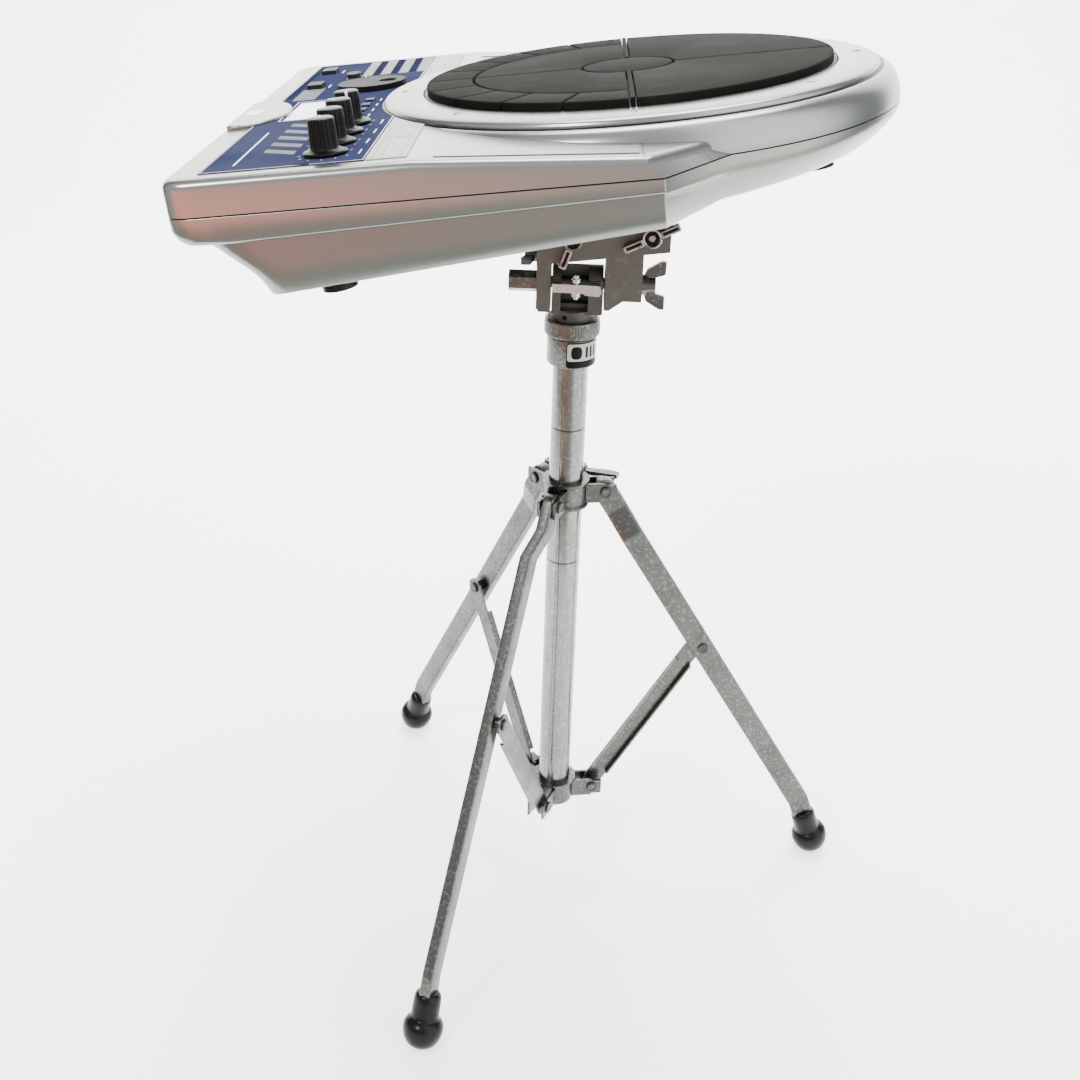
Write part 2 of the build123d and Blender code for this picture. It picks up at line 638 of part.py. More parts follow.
# ---------------------------------------------------------------- write
def nodes():
    out = {
        "main_tube": main_tube, "tube_bush": tube_bush, "sleeve": sleeve, "clutch_ring": clutch_ring,
        "height_rod": height_rod, "rod_guide": rod_guide, "upper_collar": upper_collar, "lower_collar": lower_collar,
        "collar_wing": collar_wing, "head_base": head_base, "brake_bar": brake_bar, "saddle": saddle,
        "side_wing": side_wing, "tilt_bolt": tilt_bolt, "tilt_nut": tilt_nut, "mount_plate": mount_plate,
        "plate_screws": plate_screws, "upper_case": upper_case, "lower_case": lower_case,
        "circuit_board": circuit_board, "panel_board": panel_board, "case_feet": case_feet,
        "case_screws": case_screws, "panel_overlay": panel_overlay, "panel_band": panel_band,
        "display_window": display_window, "sensor_pod": sensor_pod, "pod_window": pod_window,
        "touch_strips": touch_strips, "pad_bezel": pad_bezel, "sensor_plate": sensor_plate, "pad_base": pad_base,
        "pad_center": pad_center, "pad_inner": pad_inner, "pad_ring": pad_ring, "pad_quarters": pad_quarters,
        "divider_strips": divider_strips, "jog_dial": jog_dial, "key_strip": key_strip,
        "power_button": power_button, "rear_jacks": rear_jacks,
    }
    for k in range(3):
        out[f"leg_{k + 1}"] = lambda k=k: turned(k) * leg()
        out[f"strut_{k + 1}"] = lambda k=k: turned(k) * strut()
        out[f"foot_{k + 1}"] = lambda k=k: turned(k) * foot()
        out[f"button_{k + 1}"] = lambda k=k: button(k)
    for k in range(4):
        out[f"knob_{k + 1}"] = lambda k=k: knob(KNOB_V[k])
    for k in range(2):
        out[f"front_wing_{k + 1}"] = lambda k=k: front_wing(k)
    return out


def main():
    os.makedirs("parts", exist_ok=True)
    for name, make in nodes().items():
        shape = make()
        if isinstance(shape, list):
            shape = Compound(children=shape)
        shape.label = name
        export_step(shape, f"parts/{name}.step")
        print(name, len(shape.solids()), round(shape.volume / 1000, 2), "cm3", flush=True)


main()
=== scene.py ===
import json
import math

import bmesh
import bpy
import numpy as np
from mathutils import Matrix, Vector


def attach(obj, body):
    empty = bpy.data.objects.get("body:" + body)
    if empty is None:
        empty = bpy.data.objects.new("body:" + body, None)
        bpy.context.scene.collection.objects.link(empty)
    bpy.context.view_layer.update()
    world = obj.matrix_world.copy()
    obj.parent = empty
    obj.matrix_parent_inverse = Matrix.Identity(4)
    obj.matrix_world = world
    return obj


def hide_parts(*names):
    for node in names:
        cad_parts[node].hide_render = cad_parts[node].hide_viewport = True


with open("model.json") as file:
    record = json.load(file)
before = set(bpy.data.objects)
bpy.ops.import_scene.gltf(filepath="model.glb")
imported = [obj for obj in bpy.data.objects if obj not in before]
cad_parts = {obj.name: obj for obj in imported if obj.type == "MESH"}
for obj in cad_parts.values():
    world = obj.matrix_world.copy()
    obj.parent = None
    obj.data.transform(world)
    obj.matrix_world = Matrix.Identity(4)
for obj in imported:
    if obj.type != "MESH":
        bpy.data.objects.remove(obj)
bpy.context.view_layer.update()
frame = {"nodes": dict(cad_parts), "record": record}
print("frame loaded")

# where things stand, in metres and degrees; the pad unit has its own axes: u to the player, v across, w up
unit = {"at": (0.0282, -0.0054, 0.6455), "pitch": -6.88, "tilt": -2.17, "tiltHeight": 0.503}
stand = {"firstLeg": 8.8, "legs": 3}


def turnAbout(axis, degrees):
    return Matrix.Rotation(math.radians(degrees), 4, axis)


tiltFrame = (Matrix.Translation((0, 0, unit["tiltHeight"])) @ turnAbout("X", unit["tilt"])
             @ Matrix.Translation((0, 0, -unit["tiltHeight"])))
unitFrame = tiltFrame @ Matrix.Translation(unit["at"]) @ turnAbout("Y", unit["pitch"])


def legFrame(k):
    return turnAbout("Z", stand["firstLeg"] + 360 / stand["legs"] * k)


def nodeGroup(name, inputs, outputs):
    tree = bpy.data.node_groups.new(name, "ShaderNodeTree")
    for label, value in inputs:
        kind = "NodeSocketColor" if isinstance(value, tuple) else "NodeSocketFloat"
        tree.interface.new_socket(label, in_out="INPUT", socket_type=kind).default_value = value
    for label, kind in outputs:
        tree.interface.new_socket(label, in_out="OUTPUT", socket_type=kind)
    return tree, tree.nodes.new("NodeGroupInput"), tree.nodes.new("NodeGroupOutput")


def mathNode(tree, kind, a, b=None, clamp=False):
    n = tree.nodes.new("ShaderNodeMath")
    n.operation, n.use_clamp = kind, clamp
    for i, v in enumerate((a, b)):
        if v is None:
            continue
        if isinstance(v, bpy.types.NodeSocket):
            tree.links.new(v, n.inputs[i])
        else:
            n.inputs[i].default_value = v
    return n.outputs[0]


def blotchGroup():
    # noise cut to soft-edged spots: mask = smooth step of noise between Level and Level + Soft
    inputs = [("Scale", 100.0), ("Detail", 4.0), ("Level", 0.55), ("Soft", 0.1), ("Stretch", 1.0)]
    outputs = [("Mask", "NodeSocketFloat"), ("Noise", "NodeSocketFloat")]
    tree, source, sink = nodeGroup("blotches", inputs, outputs)
    spot = tree.nodes.new("ShaderNodeTexCoord")
    mapping = tree.nodes.new("ShaderNodeMapping")
    combine = tree.nodes.new("ShaderNodeCombineXYZ")
    combine.inputs[0].default_value = combine.inputs[1].default_value = 1.0
    noise = tree.nodes.new("ShaderNodeTexNoise")
    step = tree.nodes.new("ShaderNodeMapRange")
    step.interpolation_type = "SMOOTHSTEP"
    tree.links.new(source.outputs["Stretch"], combine.inputs[2])
    tree.links.new(spot.outputs["Object"], mapping.inputs["Vector"])
    tree.links.new(combine.outputs[0], mapping.inputs["Scale"])
    tree.links.new(mapping.outputs[0], noise.inputs["Vector"])
    tree.links.new(source.outputs["Scale"], noise.inputs["Scale"])
    tree.links.new(source.outputs["Detail"], noise.inputs["Detail"])
    tree.links.new(noise.outputs["Fac"], step.inputs["Value"])
    tree.links.new(source.outputs["Level"], step.inputs["From Min"])
    top = mathNode(tree, "ADD", source.outputs["Level"], source.outputs["Soft"])
    tree.links.new(top, step.inputs["From Max"])
    tree.links.new(step.outputs[0], sink.inputs["Mask"])
    tree.links.new(noise.outputs["Fac"], sink.inputs["Noise"])
    return tree


blotches = blotchGroup()


class Finish:
    # one material being built: its shader, and short ways to add what varies
    def __init__(self, name, color, roughness, metallic=0.0, **more):
        self.material = bpy.data.materials.new(name)
        self.material.use_nodes = True
        self.tree = self.material.node_tree
        self.shader = self.tree.nodes["Principled BSDF"]
        self.color = self.plain(color)
        self.shader.inputs["Roughness"].default_value = roughness
        self.shader.inputs["Metallic"].default_value = metallic
        for key, value in more.items():
            self.shader.inputs[key.replace("_", " ")].default_value = value

    def plain(self, color):
        n = self.tree.nodes.new("ShaderNodeRGB")
        n.outputs[0].default_value = (*color, 1)
        return n.outputs[0]

    def blotch(self, **values):
        n = self.tree.nodes.new("ShaderNodeGroup")
        n.node_tree = blotches
        for key, value in values.items():
            n.inputs[key.capitalize()].default_value = value
        return n.outputs

    def mix(self, mask, a, b):
        n = self.tree.nodes.new("ShaderNodeMix")
        n.data_type = "RGBA"
        self.tree.links.new(mask, n.inputs["Factor"])
        for value, socket in ((a, n.inputs[6]), (b, n.inputs[7])):
            if isinstance(value, tuple):
                socket.default_value = (*value, 1)
            else:
                self.tree.links.new(value, socket)
        return n.outputs[2]

    def tint(self, mask, color, amount=1.0):
        self.color = self.mix(mathNode(self.tree, "MULTIPLY", mask, amount), self.color, color)

    def rough(self, value, low, high):
        n = self.tree.nodes.new("ShaderNodeMapRange")
        n.inputs["To Min"].default_value = low
        n.inputs["To Max"].default_value = high
        self.tree.links.new(value, n.inputs["Value"])
        self.tree.links.new(n.outputs[0], self.shader.inputs["Roughness"])

    def bump(self, height, distance, strength=0.5):
        n = self.tree.nodes.new("ShaderNodeBump")
        n.inputs["Distance"].default_value = distance
        n.inputs["Strength"].default_value = strength
        self.tree.links.new(height, n.inputs["Height"])
        self.tree.links.new(n.outputs[0], self.shader.inputs["Normal"])

    def done(self):
        self.tree.links.new(self.color, self.shader.inputs["Base Color"])
        return self.material


def silverPaint():
    f = Finish("silver paint", (0.20, 0.206, 0.195), 0.24, 0.9)
    flake = f.blotch(scale=2600.0, detail=2.0, level=0.45, soft=0.2)
    haze = f.blotch(scale=14.0, detail=2.0, level=0.4, soft=0.35)
    f.tint(flake["Mask"], (0.22, 0.226, 0.215), 0.15)
    f.tint(haze["Mask"], (0.185, 0.19, 0.18), 0.35)
    f.rough(haze["Noise"], 0.22, 0.3)
    return f.done()


def zincPlate(name="zinc plate", color=(0.075, 0.079, 0.073), bloom=0.35):
    # plating dulled in clouds, with a fine white bloom of oxide
    f = Finish(name, color, 0.3, 1.0)
    oxide = f.blotch(scale=430.0, detail=7.0, level=0.5, soft=0.16)
    cloud = f.blotch(scale=52.0, detail=7.0, level=0.4, soft=0.3)
    f.tint(cloud["Mask"], tuple(c * 0.72 for c in color), 0.7)
    f.tint(oxide["Mask"], (0.22, 0.228, 0.215), bloom)
    f.rough(cloud["Noise"], 0.16, 0.5)
    f.bump(oxide["Noise"], 0.00006, 0.35)
    return f.done()


def darkChrome():
    f = Finish("dark chrome", (0.22, 0.22, 0.215), 0.16, 1.0)
    stain = f.blotch(scale=260.0, detail=8.0, level=0.5, soft=0.15)
    f.tint(stain["Mask"], (0.08, 0.08, 0.075), 0.8)
    f.rough(stain["Noise"], 0.08, 0.35)
    return f.done()


def ringMask(tree, height, half):
    # one within half of the height, nought away from it
    spot = tree.nodes.new("ShaderNodeTexCoord")
    split = tree.nodes.new("ShaderNodeSeparateXYZ")
    tree.links.new(spot.outputs["Object"], split.inputs[0])
    away = mathNode(tree, "ABSOLUTE", mathNode(tree, "SUBTRACT", split.outputs["Z"], height))
    return mathNode(tree, "LESS_THAN", away, half)


def chromeTube():
    f = Finish("plated tube", (0.17, 0.178, 0.168), 0.16, 1.0)
    mottle = f.blotch(scale=330.0, detail=8.0, level=0.5, soft=0.14)
    streak = f.blotch(scale=600.0, detail=4.0, level=0.55, soft=0.1, stretch=0.06)
    cloud = f.blotch(scale=40.0, detail=7.0, level=0.42, soft=0.25)
    f.tint(cloud["Mask"], (0.15, 0.155, 0.147), 0.7)
    f.tint(mottle["Mask"], (0.32, 0.33, 0.315), 0.3)
    f.tint(streak["Mask"], (0.10, 0.10, 0.095), 0.3)
    for height in (0.291, 0.398):
        f.tint(ringMask(f.tree, height, 0.0007), (0.02, 0.02, 0.018), 0.8)
    f.rough(cloud["Noise"], 0.1, 0.32)
    return f.done()


def castGrey():
    f = Finish("dark casting", (0.05, 0.051, 0.043), 0.42, 0.5)
    grain = f.blotch(scale=900.0, detail=6.0, level=0.45, soft=0.2)
    rub = f.blotch(scale=120.0, detail=8.0, level=0.58, soft=0.08)
    f.tint(grain["Mask"], (0.065, 0.066, 0.057), 0.4)
    f.tint(rub["Mask"], (0.10, 0.10, 0.09), 0.3)
    f.rough(rub["Noise"], 0.3, 0.6)
    f.bump(grain["Noise"], 0.00012)
    return f.done()


def padRubber():
    f = Finish("pad rubber", (0.0055, 0.0055, 0.0045), 0.8, Specular_IOR_Level=0.03)
    grain = f.blotch(scale=1500.0, detail=3.0, level=0.45, soft=0.25)
    dust = f.blotch(scale=45.0, detail=8.0, level=0.48, soft=0.3)
    f.tint(grain["Mask"], (0.008, 0.008, 0.0068), 0.6)
    f.tint(dust["Mask"], (0.025, 0.025, 0.022), 0.2)
    f.bump(grain["Noise"], 0.0001)
    return f.done()


def plainPlastic(name, color, roughness, grainSize=1200.0, dustColor=(0.3, 0.3, 0.29), dust=0.08, shine=0.4):
    f = Finish(name, color, roughness, Specular_IOR_Level=shine)
    grain = f.blotch(scale=grainSize, detail=3.0, level=0.45, soft=0.25)
    haze = f.blotch(scale=60.0, detail=7.0, level=0.5, soft=0.25)
    f.tint(haze["Mask"], dustColor, dust)
    f.rough(haze["Noise"], roughness * 0.8, min(1.0, roughness * 1.3))
    f.bump(grain["Noise"], 0.00005, 0.4)
    return f.done()


def bluePrint():
    # violet blue that turns greyer in broad patches, as a printed film under a light haze
    f = Finish("blue print", (0.020, 0.024, 0.053), 0.5, Specular_IOR_Level=0.0)
    fade = f.blotch(scale=9.0, detail=2.0, level=0.42, soft=0.25)
    dust = f.blotch(scale=900.0, detail=3.0, level=0.58, soft=0.1)
    f.tint(fade["Mask"], (0.034, 0.038, 0.066), 0.8)
    f.tint(dust["Mask"], (0.06, 0.06, 0.075), 0.08)
    return f.done()


def clearWindow():
    f = Finish("display window", (0.42, 0.47, 0.49), 0.08, 0.0, Coat_Weight=0.6)
    glow = f.blotch(scale=30.0, detail=2.0, level=0.4, soft=0.3)
    f.tint(glow["Mask"], (0.5, 0.55, 0.56), 0.6)
    return f.done()


black = (0.003, 0.003, 0.003)
softDust = (0.02, 0.02, 0.02)
finishes = {
    "tube": chromeTube(), "zinc_steel": zincPlate(), "cast_head": castGrey(),
    "plate_paint": plainPlastic("black paint", (0.02, 0.018, 0.016), 0.45),
    "black_plastic": plainPlastic("black plastic", black, 0.3, dustColor=softDust, dust=0.05, shine=0.08),
    "foot_rubber": plainPlastic("foot rubber", black, 0.25, 700.0, softDust, 0.06, 0.12),
    "case_silver": silverPaint(), "board": plainPlastic("green board", (0.02, 0.12, 0.04), 0.5),
    "panel_blue": bluePrint(), "dark_chrome": darkChrome(),
    "print_pale": plainPlastic("pale green print", (0.075, 0.083, 0.085), 0.5, dust=0.02, shine=0.05),
    "print_light": plainPlastic("light print", (0.15, 0.155, 0.16), 0.5, shine=0.1),
    "print_dark": plainPlastic("dark print", (0.012, 0.014, 0.03), 0.5, dust=0.02, shine=0.0),
    "print_grey": plainPlastic("grey print", (0.09, 0.095, 0.085), 0.4),
    "badge_pale": plainPlastic("badge field", (0.30, 0.30, 0.28), 0.35),
    "panel_silver": plainPlastic("pale print", (0.26, 0.265, 0.225), 0.4),
    "dark_gloss": plainPlastic("dark gloss", (0.005, 0.005, 0.006), 0.45, dustColor=(0.03, 0.03, 0.03),
                               dust=0.06, shine=0.03),
    "window": clearWindow(), "pad_rubber": padRubber(),
    "white_mark": plainPlastic("white mark", (0.6, 0.6, 0.59), 0.4, dustColor=(0.4, 0.4, 0.39), dust=0.15),
    "dark_steel": plainPlastic("dark steel", (0.012, 0.012, 0.011), 0.3, 500.0, (0.2, 0.2, 0.19), 0.25),
    "inner_plastic": plainPlastic("inner plastic", (0.01, 0.01, 0.01), 0.5),
    "key_grey": plainPlastic("grey key", (0.012, 0.012, 0.016), 0.45, dust=0.02, shine=0.05),
    "key_blue": plainPlastic("blue key", (0.008, 0.011, 0.035), 0.45, dust=0.02, shine=0.05),
    "jack_metal": zincPlate(), "bright_zinc": zincPlate("bright zinc", (0.45, 0.45, 0.43), 0.5),
    # a darker copy of the casting: painted shade for the shaded inside of the head's fork
    "shade_dark_cast": plainPlastic("cast iron darkened for shade", (0.022, 0.022, 0.018), 0.5, 900.0, (0.08, 0.08, 0.07), 0.25),
}
slotOf = {part["node"]: part["material_slot"] for part in frame["record"]["subparts"]}
# the head's fork block takes that darker finish as painted shade
slotOf |= {"brake_bar": "bright_zinc", "head_base": "shade_dark_cast"}
for name, node in frame["nodes"].items():
    node.data.materials.clear()
    node.data.materials.append(finishes[slotOf[name]])
print("finishes done")


# a shape is a pair: its points, and its faces as lists of corner numbers
def grid(points, wrapAcross=False, wrapAlong=False, capStart=False, capEnd=False):
    # points[i, j]: quads join neighbours along i and across j; a cap closes the first or last row
    rows, across = points.shape[:2]
    number = np.arange(rows * across).reshape(rows, across)
    ends = number[0], number[-1]
    if wrapAcross:
        number = np.concatenate((number, number[:, :1]), 1)
    if wrapAlong:
        number = np.concatenate((number, number[:1]), 0)
    quads = np.stack((number[:-1, :-1], number[:-1, 1:], number[1:, 1:], number[1:, :-1]), -1)
    faces = quads.reshape(-1, 4).tolist()
    if capStart:
        faces.append(ends[0][::-1].tolist())
    if capEnd:
        faces.append(ends[1].tolist())
    return points.reshape(-1, 3), faces


def join(*shapes):
    points, faces, count = [], [], 0
    for p, f in shapes:
        points.append(p)
        faces += [[i + count for i in face] for face in f]
        count += len(p)
    return np.concatenate(points), faces


def moved(shape, matrix):
    m = np.array(matrix)
    return shape[0] @ m[:3, :3].T + m[:3, 3], shape[1]


def rounded(corners, steps=5):
    # each corner (x, y, r) of a closed outline becomes a curve that leaves its sides r away from the corner
    c = np.array(corners, float)
    p, r = c[:, :2], c[:, 2:]
    before, after = np.roll(p, 1, 0) - p, np.roll(p, -1, 0) - p
    start = p + before / np.linalg.norm(before, axis=1, keepdims=True) * r
    end = p + after / np.linalg.norm(after, axis=1, keepdims=True) * r
    t = np.linspace(0, 1, steps)[None, :, None]
    line = (1 - t) ** 2 * start[:, None] + 2 * t * (1 - t) * p[:, None] + t * t * end[:, None]
    line = line.reshape(-1, 2)
    keep = np.linalg.norm(line - np.roll(line, 1, 0), axis=1) > 1e-7
    return line[keep]


def smoothLine(points, steps=6):
    # a curve through the points: each stretch is a cubic whose slopes follow the points on either side
    p = np.array(points, float)
    slope = np.gradient(p, axis=0)
    t = np.linspace(0, 1, steps, endpoint=False)[None, :, None]
    a, b, sa, sb = p[:-1, None], p[1:, None], slope[:-1, None], slope[1:, None]
    line = ((2 * t ** 3 - 3 * t ** 2 + 1) * a + (t ** 3 - 2 * t ** 2 + t) * sa + (3 * t ** 2 - 2 * t ** 3) * b
            + (t ** 3 - t ** 2) * sb)
    return np.concatenate((line.reshape(-1, p.shape[1]), p[-1:]))


def lathe(profile, count=128, ring=False, wave=None):
    # (radius, height) points turned about +Z; wave changes the radius with the angle
    angle = np.linspace(0, 2 * math.pi, count, endpoint=False)
    rows = np.array(profile)
    r = rows[:, :1] * (1 if wave is None else 1 + wave(angle)[None, :] * rows[:, 2:3])
    r = r * np.ones((1, count))
    z = rows[:, 1:2] * np.ones((1, count))
    points = np.stack((r * np.cos(angle), r * np.sin(angle), z), -1)
    return grid(points, wrapAcross=True, wrapAlong=ring, capStart=not ring, capEnd=not ring)


def prism(outline, low, high):
    # a closed outline carried from low to high along +Z
    n = len(outline)
    points = np.zeros((2, n, 3))
    points[:, :, :2] = outline
    points[0, :, 2], points[1, :, 2] = low, high
    return grid(points, wrapAcross=True, capStart=True, capEnd=True)


def slab(x0, x1, y0, y1, z0, z1):
    return prism(np.array([(x0, y0), (x1, y0), (x1, y1), (x0, y1)]), z0, z1)


def tidyNormals(mesh):
    work = bmesh.new()
    work.from_mesh(mesh)
    bmesh.ops.recalc_face_normals(work, faces=work.faces)
    work.to_mesh(mesh)
    work.free()


def addPiece(name, shape, finish, body, stands=(), bevel=0.0, sharp=35):
    points, faces = shape
    mesh = bpy.data.meshes.new(name)
    mesh.from_pydata((points / 1000).tolist(), [], faces)
    tidyNormals(mesh)
    mesh.shade_smooth()
    mesh.set_sharp_from_angle(angle=math.radians(sharp))
    mesh.materials.append(finishes[finish])
    piece = bpy.data.objects.new(name, mesh)
    bpy.context.scene.collection.objects.link(piece)
    if bevel:
        softenEdges(piece, bevel)
    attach(piece, body)
    if stands:
        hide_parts(*stands)
    return piece


def softenEdges(piece, width, segments=2):
    edge = piece.modifiers.new("soft edges", "BEVEL")
    edge.width, edge.segments, edge.limit_method = width / 1000, segments, "ANGLE"
    edge.angle_limit = math.radians(32)
    edge.harden_normals = True


def inMillimetres(matrix):
    # the same placing, for shapes worked out in millimetres
    m = matrix.copy()
    m.translation = m.translation * 1000
    return m


onUnit = inMillimetres(unitFrame)
onTilt = inMillimetres(tiltFrame)


# the pad unit's case, in millimetres: its sides turn in from cutStart to cutEnd to meet the drum
case = {"rear": -248.0, "half": 203.0, "corner": 14.0, "cutStart": 12.5, "cutEnd": 50.0, "drum": 166.0,
        "panel": -9.0, "seam": -28.0, "seamGap": 0.7, "shoulderFrom": -117.0, "shoulderFall": 0.0677,
        "fillet": 4.8, "cutLean": 8.0, "spacing": 9.0}


def panelHeight(u):
    return case["panel"] - case["shoulderFall"] * np.maximum(u - case["shoulderFrom"], 0)


def plan():
    # the case seen from above, up to where the round end takes over
    v = math.sqrt(case["drum"] ** 2 - case["cutEnd"] ** 2)
    c = case["corner"]
    line = [(case["rear"], -case["half"], c), (case["cutStart"], -case["half"], 0), (case["cutEnd"], -v, 0),
            (case["cutEnd"], v, 0), (case["cutStart"], case["half"], 0), (case["rear"], case["half"], c)]
    return rounded(line, 9)


def inwards(line):
    # at each point of a closed outline, the step inwards that moves both its sides in by one
    ahead = np.roll(line, -1, 0) - line
    ahead /= np.linalg.norm(ahead, axis=1, keepdims=True)
    n = np.stack((-ahead[:, 1], ahead[:, 0]), 1)
    before = np.roll(n, 1, 0)
    return (n + before) / (1 + (n * before).sum(1, keepdims=True))


def resample(line, spacing):
    # adds points along the long straight sides
    ahead = np.roll(line, -1, 0) - line
    count = np.maximum(1, np.round(np.linalg.norm(ahead, axis=1) / spacing).astype(int))
    start = np.repeat(np.arange(len(line)), count)
    step = (np.arange(len(start)) - np.repeat(np.cumsum(count) - count, count)) / np.repeat(count, count)
    return line[start] + ahead[start] * step[:, None]


def caseTop():
    # wall, then a quarter-round edge, then the top carried in towards the pad's centre
    line = resample(plan(), case["spacing"])
    inset = inwards(line)
    f = case["fillet"]
    turn = np.linspace(0, math.pi / 2, 7)
    leaning = (line[:, 0] > case["cutStart"] - 0.1).astype(float)
    rows = []
    rounding = [(1.0, f * (1 - math.cos(a)), f * (1 - math.sin(a))) for a in turn]
    for share, step, drop in [(0.0, 0.0, None)] + rounding:
        p = line + inset * step
        p[:, 0] -= leaning * case["cutLean"] * share
        height = panelHeight(p[:, 0]) - (drop if drop is not None else 0)
        height = np.full(len(p), case["seam"]) if drop is None else height
        rows.append(np.column_stack((p, height)))
    edge = rows[-1][:, :2]
    for share in np.linspace(0, 1, 14)[1:]:
        p = edge * (1 - share) + edge * 120 / np.linalg.norm(edge, axis=1, keepdims=True) * share
        rows.append(np.column_stack((p, panelHeight(p[:, 0]))))
    plate = grid(np.array(rows), wrapAcross=True, capStart=True, capEnd=True)
    crown = smoothLine([(155.6, -9.2), (158.4, -9.9), (161.2, -11.9), (163.6, -15.2), (165.3, -20.0),
                        (166.0, -25.0), (166.0, -28.0)], 6)
    crown = np.concatenate((crown, [(150.0, -28.0), (150.0, -12.0)]))
    return join(plate, lathe(crown, 256, ring=True))


def bandEdge(u):
    return -46.0 + 0.03 * (u + 300)


def baseHeight(u):
    return -59.7 + 0.09 * u


# rows of the underside from the seam down: how far each lies in from the case's edge, and the drum's drop
belly = {"rear": (0, 0.2, 2.4, 6.0, 12.0, 15.0, 21.0, 27.0, 33.0, 38.0, 41.0, 43.0),
         "rearLift": (0, 7.0, 3.4, 1.0, 0, 0, 0, 0, 0, 0, 0, 0),
         "side": (0, 0, 0.5, 2.0, 12.6, 14.4, 14.8, 15.2, 15.6, 16.0, 16.9, 19.0),
         "drum": (0, 0.1, 0.5, 1.3, 2.6, 4.2, 6.0, 8.0, 10.2, 12.4, 14.4, 17.0),
         "drop": (0, 0.12, 0.22, 0.32, 0.43, 0.54, 0.64, 0.74, 0.84, 0.92, 0.975, 1.0)}


def caseBottom():
    # rows go down from the seam: band, its lower edge, the belly set in from it, and the flat base
    straight = resample(plan(), case["spacing"])
    keep = straight[:, 0] <= case["cutStart"] + 0.1
    first = np.argmax(keep & ~np.roll(keep, 1))
    straight = np.roll(straight, -first, 0)[:keep.sum()]
    edge = math.atan2(math.sqrt(case["drum"] ** 2 - case["cutEnd"] ** 2), case["cutEnd"])
    around = np.linspace(-edge, edge, 90)
    rows = []
    length = case["cutStart"] - case["rear"]
    seam = case["seam"] - case["seamGap"]
    for i, (a, lift, b, c, drop) in enumerate(zip(*belly.values())):
        u = straight[:, 0] + a * (case["cutStart"] - straight[:, 0]) / length
        v = straight[:, 1] * (1 - b / case["half"])
        rearness = np.clip((-215 - straight[:, 0]) / 33, 0, 1)
        under = np.array((0, 2.2, 0.8, 0, -0.8, -2.6))
        down = (i - 5) / (len(belly["drop"]) - 6)
        if i == 0:
            w = np.full(len(u), seam)
        elif i < 6:
            w = bandEdge(u) + under[i] + lift * rearness
        else:
            w = (bandEdge(u) - 2.6) * (1 - down) + baseHeight(u) * down
        r = case["drum"] - c
        du, dv = r * np.cos(around), r * np.sin(around)
        dw = seam * (1 - drop) + baseHeight(du) * drop
        rows.append(np.concatenate((np.column_stack((u, v, w)), np.column_stack((du, dv, dw)))))
    return grid(np.array(rows), wrapAcross=True, capStart=True, capEnd=True)


def seamStrip():
    line = resample(plan(), case["spacing"])
    inner = line + inwards(line) * 1.4
    outer = 163.8
    hoop = lathe([(outer, -31), (outer, -26), (150, -26), (150, -31)], 192, ring=True)
    return join(prism(inner, -30.5, -27.6), hoop)


def gapRing():
    return lathe([(153.2, -10.2), (156.4, -10.2), (156.0, -8.75), (153.2, -8.75)], 256, ring=True)


def padBezel():
    top = smoothLine([(129.2, -4.9), (130.4, -4.35), (136.0, -4.15), (144.0, -4.45), (150.0, -5.2),
                      (152.8, -6.2), (154.0, -7.9)], 6)
    return lathe(np.concatenate(([(129.2, -9.0)], top, [(154.0, -9.0)])), 256, ring=True)


def buildCase():
    addPiece("case_top", moved(caseTop(), onUnit), "case_silver", "unit", ["upper_case"])
    addPiece("case_bottom", moved(caseBottom(), onUnit), "case_silver", "unit", ["lower_case"], bevel=0.5)
    addPiece("seam_line", moved(seamStrip(), onUnit), "black_plastic", "unit")
    addPiece("bezel_gap", moved(gapRing(), onUnit), "black_plastic", "unit")
    addPiece("pad_rim", moved(padBezel(), onUnit), "case_silver", "unit", ["pad_bezel"])


pad = {"gap": 1.5, "divider": 2.0, "top": 0.0, "bottom": -5.0, "centre": 27.8, "inner": (29.4, 96.2),
       "outer": (97.8, 126.5), "outerZones": 10}


def zoneOutline(r0, r1, a0, a1, gap0, gap1):
    # a ring sector between two angles in degrees; each straight side stands half a gap back from its line
    def arc(r, sign):
        low = math.radians(a0) + math.asin(gap0 / r)
        high = math.radians(a1) - math.asin(gap1 / r)
        t = np.linspace(low, high, max(6, int((high - low) * r / 3)))[::sign]
        return np.stack((r * np.cos(t), r * np.sin(t)), 1)
    return np.concatenate((arc(r1, 1), arc(r0, -1)))


def softTile(outline, low, high, radius=0.9):
    # an outline carried up, its top edge rounded over
    inset = inwards(outline)
    turn = np.linspace(0, math.pi / 2, 5)
    rows = [(outline, low)]
    rows += [(outline + inset * radius * (1 - math.cos(a)), high - radius * (1 - math.sin(a))) for a in turn]
    points = np.array([np.column_stack((p, np.full(len(p), h))) for p, h in rows])
    return grid(points, wrapAcross=True, capStart=True, capEnd=True)


def tiles(sectors):
    return moved(join(*(softTile(zoneOutline(*s), pad["bottom"], pad["top"]) for s in sectors)), onUnit)


